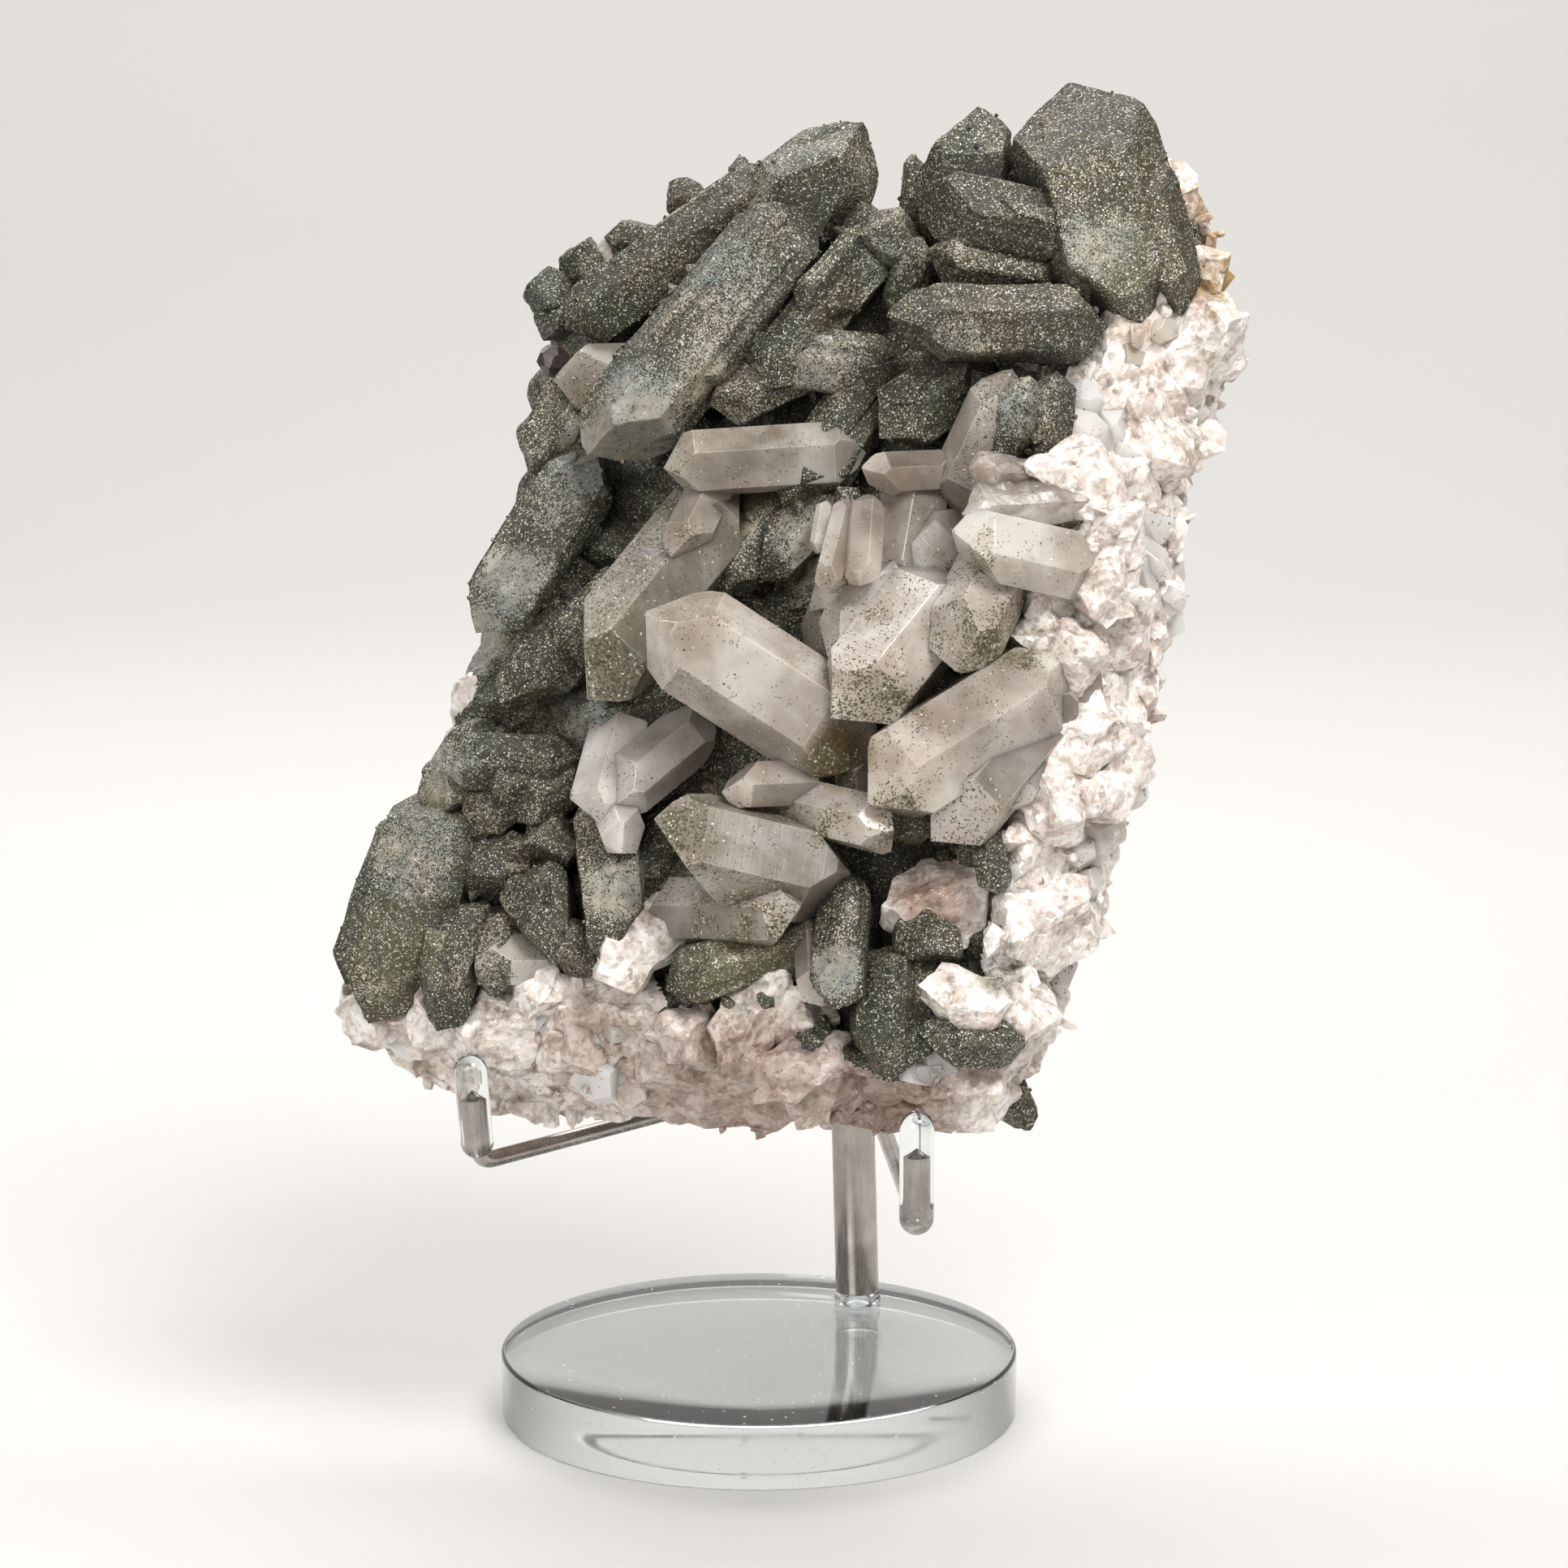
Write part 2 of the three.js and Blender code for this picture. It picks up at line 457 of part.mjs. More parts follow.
// A wire's route: straight runs of one step, with an arc of the bend radius in a few steps at each corner
class WireRoute extends THREE.Curve {
  constructor(corners, bend) {
    super();
    this.stretches = [];
    let start = corners[0];
    for (let n = 1; n + 1 < corners.length; n += 1) {
      const before = corners[n - 1].clone().sub(corners[n]).normalize();
      const after = corners[n + 1].clone().sub(corners[n]).normalize();
      const setback = bend / Math.tan(before.angleTo(after) / 2);
      const into = corners[n].clone().addScaledVector(before, setback);
      const out = corners[n].clone().addScaledVector(after, setback);
      this.stretches.push(new THREE.LineCurve3(start, into));
      const arc = new THREE.QuadraticBezierCurve3(into, corners[n], out);
      for (let k = 0; k < WIRE_BEND_STEPS; k += 1) this.stretches.push(arc);
      start = out;
    }
    this.stretches.push(new THREE.LineCurve3(start, corners[corners.length - 1]));
  }

  getPoint(t, target = new THREE.Vector3()) {
    const along = Math.min(t, 1) * this.stretches.length;
    const n = Math.min(Math.floor(along), this.stretches.length - 1);
    const stretch = this.stretches[n];
    if (stretch.isLineCurve3) return target.copy(stretch.getPoint(along - n));
    const first = this.stretches.indexOf(stretch);
    return target.copy(stretch.getPoint((along - first) / WIRE_BEND_STEPS));
  }

  getUtoTmapping(u) {
    return u;
  }
}

// A round bar of a given radius along a route
function bar(route, radius) {
  const section = new THREE.Shape();
  section.absarc(0, 0, radius, 0, 2 * Math.PI, false);
  return new THREE.ExtrudeGeometry(section, {
    extrudePath: route,
    steps: route.stretches.length,
    curveSegments: 4,
  });
}

// A round cap with domed ends, from one point to another
function domedBar(from, to, radius) {
  const line = to.clone().sub(from);
  const profile = [];
  for (let n = 0; n <= 3; n += 1) {
    const angle = (n / 3) * (Math.PI / 2);
    profile.push(new THREE.Vector2(radius * Math.sin(angle), radius - radius * Math.cos(angle)));
  }
  const shoulder = line.length() - radius;
  for (let n = 0; n <= 3; n += 1) {
    const angle = (n / 3) * (Math.PI / 2);
    profile.push(new THREE.Vector2(radius * Math.cos(angle), shoulder + radius * Math.sin(angle)));
  }
  profile[0].x = 0;
  profile[profile.length - 1].x = 0;
  const geometry = new THREE.LatheGeometry(profile, 12);
  const upright = new THREE.Vector3(0, 1, 0);
  geometry.applyQuaternion(new THREE.Quaternion().setFromUnitVectors(upright, line.normalize()));
  geometry.translate(from.x, from.y, from.z);
  return geometry;
}

// Where each wire leaves the post, and the corners that it takes. The two front wires run level under the
// plate and turn up in front of it. The rear wire rises behind the plate and turns forward to its back.
const LEFT_LEG = new THREE.Vector3(-35.8, -31.5, ARM_HEIGHT);
const RIGHT_LEG = new THREE.Vector3(19.75, -57.5, ARM_HEIGHT);
const REAR_TURN = new THREE.Vector3(13.1, 24.5, 99);
const LEFT_UP = new THREE.Vector3(-Math.sin(0.079), 0, Math.cos(0.079));
const RIGHT_UP = new THREE.Vector3(0, 0, 1);
const REAR_FORWARD = new THREE.Vector3(0, -1, 0);
const ARMS = [
  { name: "left", slot: 3.58, corner: LEFT_LEG, end: LEFT_UP, reach: 14.3, sleeveStart: 0.6 },
  { name: "right", slot: 5.67, corner: RIGHT_LEG, end: RIGHT_UP, reach: 13.5, sleeveStart: -2.2 },
  { name: "rear", slot: 1.48, corner: REAR_TURN, end: REAR_FORWARD, reach: 24.9, sleeveStart: 10.9 },
];

function armCorners({ name, slot, corner, end, reach }) {
  const low = alongPost(POST_TOP - WIRE_DEPTH_IN_POST, slot, WIRE_FROM_POST_AXIS);
  const turnHeight = name === "rear" ? POST_TOP + 4 : ARM_HEIGHT;
  const mouth = alongPost(turnHeight, slot, WIRE_FROM_POST_AXIS);
  const wireEnd = corner.clone().addScaledVector(end, reach - SLEEVE_PAST_WIRE);
  return [low, mouth, corner, wireEnd];
}

function armBar(arm, radius) {
  return bar(new WireRoute(armCorners(arm), WIRE_BEND), radius);
}

function sleeveBar(arm, radius, extra) {
  const from = arm.corner.clone().addScaledVector(arm.end, arm.sleeveStart - extra);
  const to = arm.corner.clone().addScaledVector(arm.end, arm.reach + extra);
  return domedBar(from, to, radius);
}

// The clear round base, with a small chamfer on both edges
function baseDisc() {
  const profile = [
    new THREE.Vector2(0, 0),
    new THREE.Vector2(BASE_RADIUS - BASE_CHAMFER, 0),
    new THREE.Vector2(BASE_RADIUS, BASE_CHAMFER),
    new THREE.Vector2(BASE_RADIUS, BASE_THICKNESS - BASE_CHAMFER),
    new THREE.Vector2(BASE_RADIUS - BASE_CHAMFER, BASE_THICKNESS),
    new THREE.Vector2(0, BASE_THICKNESS),
  ];
  return new THREE.LatheGeometry(profile, 48).rotateX(Math.PI / 2);
}

// A round tube between two heights, standing on Z
function tube(outer, inner, low, high, sides) {
  const profile = [
    new THREE.Vector2(inner, low),
    new THREE.Vector2(outer, low),
    new THREE.Vector2(outer, high),
    new THREE.Vector2(inner, high),
    new THREE.Vector2(inner, low),
  ];
  return new THREE.LatheGeometry(profile, sides).rotateX(Math.PI / 2);
}

// The cluster in the plate's own frame, then leaned and turned to where it stands
function quartzCluster() {
  const toStand = new THREE.Matrix4()
    .makeTranslation(...PLATE_CENTRE)
    .multiply(new THREE.Matrix4().makeRotationZ(-PLATE_TURN))
    .multiply(new THREE.Matrix4().makeRotationX(Math.PI / 2 - PLATE_LEAN));
  const standing = (planes) => planes.map((plane) => plane.applyMatrix4(toStand));
  const pieces = [bodyInside(standing(backBreaks()), solidOf(matrixPlate(), toStand))];
  const grown = [...COATED_CRYSTALS, ...CLEAR_CRYSTALS, ...MILKY_CRYSTALS, ...strayCrystals()];
  grown.forEach((row, n) => pieces.push(bodyInside(standing(crystalPlanes(row, n + 1)))));
  KNOBS.forEach(([u, v, w, radius], n) => {
    const planes = lumpPlanes(place([u, v, w]), radius, KNOB_FACETS, KNOB_ROUGHNESS, n + 1);
    pieces.push(bodyInside(standing(planes)));
  });
  CHUNKS.forEach(([u, v, w, radius], n) => {
    const middle = new THREE.Vector3(u, v, w);
    const planes = lumpPlanes(middle, radius, CHUNK_FACETS, CHUNK_ROUGHNESS, n + CHUNK_SEED);
    pieces.push(bodyInside(standing(planes)));
  });
  let body = pieces.shift();
  for (const piece of pieces) body = body.add(piece);
  for (const arm of ARMS) {
    body = body.subtract(solidOf(armBar(arm, WIRE_RADIUS + GAP)));
    body = body.subtract(solidOf(sleeveBar(arm, SLEEVE_RADIUS + GAP, GAP)));
  }
  const bodies = body.decompose();
  bodies.sort((a, b) => b.volume() - a.volume());
  return geometryOf(bodies[0]);
}

// Materials
const acrylic = new THREE.MeshStandardMaterial({
  color: 0xeef2f4,
  roughness: 0.05,
  transparent: true,
  opacity: 0.4,
});
const steel = new THREE.MeshStandardMaterial({ color: 0xb9b6b2, roughness: 0.28, metalness: 1 });
const quartz = new THREE.MeshStandardMaterial({ color: 0x9c978c, roughness: 0.55, flatShading: true });

// Scene graph
const part = new THREE.Group();
function addPiece(name, geometry, material, parent = part) {
  const mesh = new THREE.Mesh(geometry, material);
  mesh.name = name;
  parent.add(mesh);
}

addPiece("base_disc", baseDisc(), acrylic);
const post = new THREE.Group();
post.position.set(POST_FOOT[0], POST_FOOT[1], 0);
post.rotation.y = -POST_LEAN;
part.add(post);
const collarLow = BASE_THICKNESS + GAP;
const collarHigh = collarLow + COLLAR_HEIGHT;
addPiece("post_collar", tube(COLLAR_RADIUS, COLLAR_BORE, collarLow, collarHigh, 16), acrylic, post);
addPiece("post_tube", tube(POST_RADIUS, POST_BORE, collarHigh + GAP, POST_TOP, 16), steel, post);
for (const arm of ARMS) {
  addPiece(`arm_${arm.name}`, armBar(arm, WIRE_RADIUS), steel);
  const sleeve = solidOf(sleeveBar(arm, SLEEVE_RADIUS, 0)).subtract(solidOf(armBar(arm, WIRE_RADIUS + GAP)));
  addPiece(`sleeve_${arm.name}`, geometryOf(sleeve), acrylic);
}
addPiece("quartz_cluster", quartzCluster(), quartz);

export default part;
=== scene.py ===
"""A quartz crystal cluster with green chlorite on a clear display stand.

The cluster is a plate of broken white quartz with crystals all over its front. Most are coated with fine dark
green chlorite, and those near the middle are bare and cloudy. Lengths are in millimetres until a mesh is made.
"""
import itertools
import math

import bpy
import numpy as np
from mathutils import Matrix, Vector


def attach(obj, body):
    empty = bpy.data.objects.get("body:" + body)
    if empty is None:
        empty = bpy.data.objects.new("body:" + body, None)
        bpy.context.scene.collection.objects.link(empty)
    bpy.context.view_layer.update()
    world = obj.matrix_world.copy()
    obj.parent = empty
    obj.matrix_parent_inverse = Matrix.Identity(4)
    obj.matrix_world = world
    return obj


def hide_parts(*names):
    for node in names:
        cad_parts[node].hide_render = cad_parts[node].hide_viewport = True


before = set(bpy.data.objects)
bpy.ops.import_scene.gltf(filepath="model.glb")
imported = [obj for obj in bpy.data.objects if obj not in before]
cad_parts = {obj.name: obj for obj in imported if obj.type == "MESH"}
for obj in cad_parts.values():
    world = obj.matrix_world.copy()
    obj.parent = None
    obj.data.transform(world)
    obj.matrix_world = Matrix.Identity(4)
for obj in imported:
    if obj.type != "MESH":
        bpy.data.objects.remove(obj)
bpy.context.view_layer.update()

# Measures of the stand
BASE_RADIUS = 35
BASE_THICKNESS = 8.8
BASE_EDGE = 0.5
POST_FOOT = (13.95, 20.14)
POST_RADIUS = 3
POST_BORE = 2.65
POST_TOP = 40.6
POST_LEAN = math.radians(1.57)
COLLAR_RADIUS = 3.2
COLLAR_BORE = 1.6
COLLAR_TOP = 10.6
WIRE_RADIUS = 1.1
WIRE_FROM_POST_AXIS = 1.38
WIRE_DEPTH_IN_POST = 14
WIRE_BEND = 2.6
ARM_HEIGHT = 43
SLEEVE_RADIUS = 2.15
SLEEVE_PAST_WIRE = 4.5

# Measures of the cluster
PLATE_TURN = math.radians(20)
PLATE_LEAN = math.radians(20)
PLATE_CENTRE = (4, -24, 112)
RHOMB_SLOPE = math.radians(38.2)
PLATE_STATIONS = 48
PLATE_MIDDLE = np.array([-4.0, 2.0])
GOLDEN_TURN = math.radians(137.508)
BACK_HEIGHT = -27
BACK_SLOPE = 0.13
BACK_BREAKS = 16
BACK_BREAK_DEPTH = 0.8
STRAY_CRYSTALS = 12
STRAYS_ON_PLATE = 3
STRAY_SINK = 5.5

# How many small pieces lie on the cluster, and how wide a bell curve the hollows are blurred by
CHIPS = 260
CRUST_ON_PLATE = 260
CRUST_ON_CRYSTALS = 260
EDGE_POINTS = 120
GLASSY_CRYSTALS = 110
GRAINS = 2600
HOLLOW_SPREAD = 2.6
KNOB_GROWTH = 1.08
ROSE_CLEARANCE = 10
UPPER_CRYSTALS = 13
OUTLINE_STEPS = 720

# Crystal places are written as the point of the plate's front plane that they cover from this spot, with their
# height over that plane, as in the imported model.
EYE = np.array([213.5, -109.4, 586.4])

# Each crystal: tip and root as right, up, height on the plate, its width, the turn of its faces in degrees, the
# face of its tip that has grown largest, and the share of the width that is missing from the point
COATED_CRYSTALS = [
    ((-36.2, 36, 4), (-9.5, 57, -1), 8.6, 15, 3, 0),
    ((0.6, 68.6, 2), (-11, 40, -4), 15, 20, 5, 0),
    ((-29.8, 18.4, 11), (-6, 52, 4), 12.5, 35, 4, 0),
    ((-9, 29, 5), (6, 50, 1), 9, 10, 2, 0),
    ((-6.5, 34.5, 6), (10, 33, 0), 8, 25, 1, 0),
    ((-32.5, 50.6, 0), (-19, 47.5, -4), 5, 5, 2, 0),
    ((28, 74.6, 0), (40.5, 42, -5), 17.5, 12, 0, 0.15),
    ((15.2, 70, 1), (17.4, 50, -4), 13, 32, 4, 0),
    ((9, 56.4, 7), (31, 52.4, 0), 9.5, 20, 5, 0),
    ((12, 49, 4), (31, 47, -2), 7.5, 0, 3, 0),
    ((9.7, 62.6, -3), (10.2, 52, -5), 3, 10, 1, 0),
    ((12.6, 51.5, 4), (9.6, 41, -2), 4.8, 24, 2, 0),
    ((7.4, 39.2, 12), (35, 39.9, 2), 10, 30, 4, 0),
    ((32.6, 46.5, 2), (33, 34, -3), 4.4, 8, 1, 0),
    ((27.6, 34, 10), (25.5, 17, 1), 5.8, 22, 5, 0),
    ((31.8, 35, 6), (31.5, 17, 0), 5, 12, 3, 0),
    ((8, 24.5, 6), (21, 34, 0), 10, 5, 0, 0),
    ((-2, 14, 5), (8, 31, -1), 9, 28, 4, 0),
    ((-10.5, 2, 4), (-2, 19, -1), 7.5, 20, 2, 0),
    ((-38, 14, 3), (-31.5, 35, -1), 8, 12, 1, 0),
    ((-42.3, -5.5, 8), (-30, 20, 1), 10, 25, 3, 0),
    ((-37.5, -14.5, 6), (-29, -2, 0), 9, 5, 4, 0),
    ((-46.5, -21, 5), (-27, -20, 0), 8, 15, 2, 0),
    ((-46.5, -29.5, 3), (-40, -17, -1), 7.5, 30, 0, 0),
    ((-50.5, -57, 4), (-44.5, -28, -2), 13.5, 18, 5, 0),
    ((-42.5, -56.5, 5), (-38, -39, 0), 8, 4, 1, 0),
    ((-38.5, -37, 2), (-35.5, -23, -2), 5.5, 26, 3, 0),
    ((-17, -46, 7), (-22, -25, 0), 8, 12, 4, 0),
    ((-27.5, -13.5, 4), (-11, -10, 0), 7, 20, 2, 0),
    ((-12, -48, 6), (9, -39.5, 0), 8, 14, 0, 0),
    ((12.6, -49.5, 8), (12, -33, 1), 6.8, 22, 5, 0),
    ((19, -58, 4), (19, -42, 0), 8.5, 10, 1, 0),
    ((23.6, -56, 3), (23.4, -41, -1), 5.5, 30, 3, 0),
    ((22.5, -51.6, 5), (36, -51, -1), 6, 6, 4, 0),
    ((31.8, -33.5, 4), (28, -21, -1), 4.6, 17, 2, 0),
    ((38.8, -62.5, -22), (34.5, -55, -24), 5.5, 11, 1, 0),
]
# Coated crystals that fill the gaps between the others, behind their outline
FILLING_CRYSTALS = [
    ((-25, 24, 7), (-1.5, 58, -3), 13, 35, 4, 0),
    ((-15, 27, 5), (3, 36, 0), 8, 10, 3, 0),
    ((-6, 5, 4), (4, 17, -1), 7, 15, 1, 0),
    ((-12, -8, 3), (-2, -3, -1), 7, 25, 2, 0),
    ((-32, -8, 5), (-22, 4, 0), 8, 12, 5, 0),
    ((-36, -28, 3), (-26, -21, -1), 7, 5, 0, 0),
    ((-27, -47, 5), (-29, -34, 0), 8, 20, 1, 0),
    ((14, 33, 3), (24, 30, 0), 7, 18, 3, 0),
    ((16, -27, 3), (22, -22, -1), 7, 9, 2, 0),
    ((-33, -52, 4), (-34, -40, 0), 7, 14, 3, 0),
    ((3, 44, 3), (4, 54, -2), 6, 8, 0, 0),
    ((28, -42, 3), (20, -38, -1), 7, 28, 1, 0),
    ((-42, -31, 3), (-34, -24, -1), 8, 16, 2, 0),
    ((-41, -39, 3), (-33, -33, 0), 7, 3, 5, 0),
]
CLEAR_CRYSTALS = [
    ((-21, 1, 19), (10, -15.2, 5), 12.8, 4, 3, 0),
    ((-28.6, -11.6, 12), (-10.5, 14.5, 2), 13, 22, 1, 0),
    ((-16.3, 7, 13), (-11.3, 20, 3), 6.5, 12, 4, 0),
    ((-20.6, 19.6, 12), (5, 22.3, 3), 7.8, 27, 2, 0),
    ((-37.2, 30.4, 8), (-23, 31.2, 1), 8, 33, 5, 0),
    ((27.2, 34.4, 7), (21, 17, 1), 9, 18, 1, 0),
    ((7, 19.6, 11), (18.5, 20.6, 3), 5.8, 25, 4, 0),
    ((14.2, 1.5, 5), (15.2, 20.5, 1), 9.2, 9, 2, 0),
    ((4.4, 4, 13), (6, 15.5, 8), 3.4, 12, 0, 0),
    ((9.3, 4.5, 14), (8.7, 16, 9), 4.2, 0, 3, 0),
    ((2.6, 9, 10), (2.9, 15.5, 6), 2.2, 20, 1, 0),
    ((21.6, 20.8, 12), (34, 21, 2), 4, 14, 5, 0),
    ((20.4, 15.4, 13), (38, 17.2, 1), 6.2, 28, 2, 0),
    ((19.3, 11.8, 15), (39, 8.5, 2), 9, 21, 4, 0),
    ((21.7, -4.8, 14), (27.8, 11.5, 2), 9.6, 31, 0, 0),
    ((7.3, -14.2, 12), (21.5, 6.5, 2), 13.5, 16, 3, 0),
    ((11.4, -23, 13), (35.5, -5.5, 1), 13, 7, 2, 0),
    ((22.3, -27.4, 8), (37, -7, -1), 10, 24, 5, 0),
    ((29.5, -22.5, 4), (39.5, -4, -4), 8, 15, 1, 0),
    ((18.6, -25.5, 11), (2, -23, 3), 7.6, 29, 3, 0),
    ((-16.6, -28, 16), (9.8, -32, 3), 12.6, 11, 4, 0),
    ((-7, -21.6, 14), (6.5, -20.2, 5), 5.8, 19, 1, 0),
    ((7.4, -37, 10), (-13, -38.2, 2), 8, 26, 2, 0),
    ((1.5, 2.8, 5), (10, -6, -1), 6.5, 8, 5, 0),
    ((10, -48.8, 7), (7.8, -38, 1), 5, 30, 0, 0),
    ((-32.6, 49.9, -1), (-29, 43, -3), 3.2, 10, 4, 0),
]
# Bare crystals that fill the gaps between the others, behind their outline
FILLING_CLEAR = [
    ((5, -5, 9), (21, 13, 1), 9, 40, 2, 0),
    ((3, 0.5, 6), (12, 8, 0), 7, 12, 4, 0),
    ((3, -12.5, 5), (13, -20, 0), 8, 25, 1, 0),
]
MILKY_CRYSTALS = [
    ((-23, -28.5, 8), (-20.3, -11.5, 1), 7.6, 23, 2, 0),
    ((-17.8, -31.2, 9), (-22.6, -22, 2), 6, 13, 4, 0),
    ((-22.6, -25.4, 9), (-10.4, -14, 1), 7.6, 34, 0, 0),
    ((-20, -48, 8), (-9, -37.5, 0), 8, 18, 5, 0),
    ((-37.4, -46.6, 5), (-25.5, -45.4, -1), 6.6, 27, 3, 0),
    ((-2.5, -61, 1), (3.8, -43.5, 0), 8.6, 9, 1, 0),
    ((2.5, -61, 1), (13, -52.5, -1), 7.4, 21, 2, 0),
    ((22, -46, 8), (34, -47, 0), 7.4, 16, 4, 0),
    ((23.4, -35.5, 7), (24.6, -34.4, -6), 13.5, 20, 0, 0.45),
    ((39.4, 48.2, 0), (45, 42, -6), 5.4, 12, 3, 0),
]

# Round coated knobs as right, up, height, radius. The fourth is a small dark crystal ball.
KNOBS = [
    (-38.2, 41.8, 0, 2.9), (-37, 39, 0, 2.6), (-34.2, 45.8, -1, 3), (-36.8, 32.4, 4, 1.9),
    (-21.4, 55.2, -2, 2.5), (-16.8, 56.3, -2, 1.3), (-13.9, 59.3, -2, 1.5), (7.8, 51, 3, 3.4),
    (-28, -30.4, 1, 3.2), (-33.4, -32.6, 1, 2.9), (-30, -38.6, 2, 4), (-41.5, -46, 3, 3.6),
    (-22.6, -43.6, 2, 3.5), (-35, -22, 2, 3.6), (6.2, 16, 3.5, 1.8), (0.5, 42, 2, 3.8),
]
DARK_BALL = 3

# Broken chunks of white matrix along the lower and right edges, as right, up, height, size
CHUNKS = [
    (-53, -54, -6, 5), (-33, -53.5, -4, 6), (-24, -54, -5, 5.5), (-12, -55.5, -7, 5.5), (9, -57, -5, 5.5),
    (29, -55, -6, 6), (34, -47, -4, 5.5), (36, -36, -6, 6.5), (40, -15, -8, 7), (39, 4, -6, 6.5),
    (38, 21, -5, 6), (42, 27, -8, 6.5), (47, 42, -10, 6.5), (41, 59, -8, 5.5),
]
FILLING_CHUNKS = [
    (33, 1, 1, 5), (33.5, 6, 0, 5), (34, -12, -2, 5), (8, -51, -1, 4.4), (-6, -53, -1, 4.6), (31, 12, -1, 4),
    (-42, -53, -1, 4), (-27, -50, 0, 4), (36.5, 20, 2, 5.4), (40, 13, 1, 5.2), (40.5, 7, 0, 5), (37, -3, 0, 4.8),
    (39, -12, -1, 5.2), (38, -21, -1, 4.8),
]

# Edge of the plate's front, its widest outline and the edge of its back, as right, up, height
FRONT_RIM = [
    (35, 10, 1), (34, 20, 1), (36, 28, 0), (39, 38, 0), (42, 47, -1), (41, 56, -1), (36, 62, -2), (28, 64, -3),
    (18, 61, -4), (11, 52, -5), (5, 49, -5), (-4, 57, -4), (-15, 51, -4), (-25, 45, -3), (-33, 40, -3),
    (-36, 30, -3), (-37, 18, -3), (-39, 6, -3), (-41, -6, -2), (-44, -16, -2), (-46, -24, -2), (-50, -33, -2),
    (-53, -42, -2), (-52, -52, -1), (-48, -56, 0), (-37, -54.5, 1), (-30, -52, 1), (-15, -52, 1), (0, -54, 1),
    (8, -55, 1), (20, -56, 0), (31, -53, 0), (34, -48, 0), (33, -38, 0), (34, -22, 0), (36, -5, 0),
]
WAIST = [
    (46, 10, -12), (45, 20, -12), (47, 27, -12), (49, 37, -12), (51, 46, -11), (49, 51, -11), (44.5, 59, -11),
    (36, 67.5, -11), (28, 70, -11), (18, 66, -12), (11, 57, -13), (5, 52, -13), (-4, 62, -12), (-14, 57, -12),
    (-25, 51.5, -12), (-36, 47, -11), (-42, 38, -10), (-43.5, 26, -10), (-44, 15, -10), (-45, 5, -10),
    (-46, -6, -9), (-49, -14, -9), (-52.5, -25, -9), (-56, -32, -9), (-58, -42, -9), (-58.5, -50, -9),
    (-61, -57.5, -10), (-50, -62, -14), (-40, -64, -15), (-32, -65.2, -15), (-20, -64.2, -17),
    (-10, -63.4, -20), (5, -62, -22), (18, -62, -23), (29, -60, -14), (36, -52, -12), (38, -45, -12),
    (40, -33, -12), (43, -22, -12), (44.5, -8, -12), (46, 2, -12),
]
BACK_RIM = [
    (41, 10, -28), (41, 28, -28), (45, 42, -27), (43, 53, -26), (36, 62, -26), (26, 65, -26), (16, 60, -27),
    (6, 50, -27), (-5, 56, -25), (-16, 52, -24), (-28, 47, -22), (-38, 38, -20), (-41, 22, -19), (-42, 2, -18),
    (-45, -14, -18), (-51, -28, -18), (-54, -44, -17), (-57, -55, -17), (-48, -60, -19), (-36, -62, -20),
    (-20, -61.6, -22), (-6, -60.6, -26), (10, -59.8, -30), (22, -59.6, -30), (31, -53, -30), (34, -40, -30),
    (37, -25, -30), (39, -8, -29),
]

# How dusty each clear crystal is and how light its body is, by its number. A bare crystal without a row is plain.
PLAIN_LOOK = (0.12, 1)
CLEAR_LOOKS = {
    0: (0.2, 0.93), 1: (0.42, 0.62), 2: (0.2, 0.95), 3: (0.36, 0.86), 4: (0.3, 0.86), 5: (0.3, 0.84),
    6: (0.14, 0.95), 7: (0.24, 0.9), 8: (0.03, 1.02), 9: (0.03, 1.04), 10: (0.03, 1), 11: (0.06, 1), 12: (0.03, 1.08),
    13: (0.05, 1.05), 14: (0.3, 1.02), 15: (0.36, 1), 16: (0.24, 1.1), 17: (0.2, 1), 18: (0.2, 0.98),
    19: (0.18, 0.92), 20: (0.46, 0.74), 21: (0.1, 0.95), 22: (0.3, 0.86), 23: (0.34, 0.78), 24: (0.2, 0.84),
    25: (0.2, 0.82), 26: (0.15, 0.93), 27: (0.3, 0.84), 28: (0.6, 0.76),
}

# Clear crystals whose tops are shattered
BROKEN_TOPS = (11, 12)

# Where the bare white matrix begins, seen on the front: right of these points and below those
WHITE_FROM_RIGHT = [
    (34, -55), (31, -37), (31, -22), (30, -3), (29, 12), (30, 26), (33, 36), (38, 49), (44, 51), (60, 54), (60, 70),
]
WHITE_FROM_BELOW = [
    (-60, -52), (-48, -53), (-40, -52), (-31, -46), (-22, -44), (-17, -42), (-10, -52), (0, -53), (10, -55),
    (20, -57), (30, -53), (35, -48),
]

# Patches of colour on the cluster, each as right, up, radius, strength where it is seen on the front plane
PALE_PATCHES = [
    (-24, 26, 8, 1), (-30, 21, 6, 1), (-16, 33, 5, 0.5), (-33, 15, 5, 0.5), (-38, 4, 6, 0.9), (-43, -4, 6, 1),
    (0.5, 34, 6, 0.6), (-47, -33, 9, 0.55), (-8, -32, 4, 0.5), (-18, -36, 6, 0.7), (12, -44, 4, 0.9), (7, 47, 4, 0.5),
    (-36, -48, 5, 0.4), (18, 38, 5, 0.4), (35, 50, 7, 0.5), (27, 30, 6, 0.6), (-45, -22, 6, 0.5), (-12, 12, 7, 0.8),
    (3, 10, 8, 0.7), (-8, 22, 7, 0.6), (-26, -14, 6, 0.6), (-5, -27, 6, 0.7), (15, 12, 8, 0.7), (-14, 44, 9, 0.4),
]
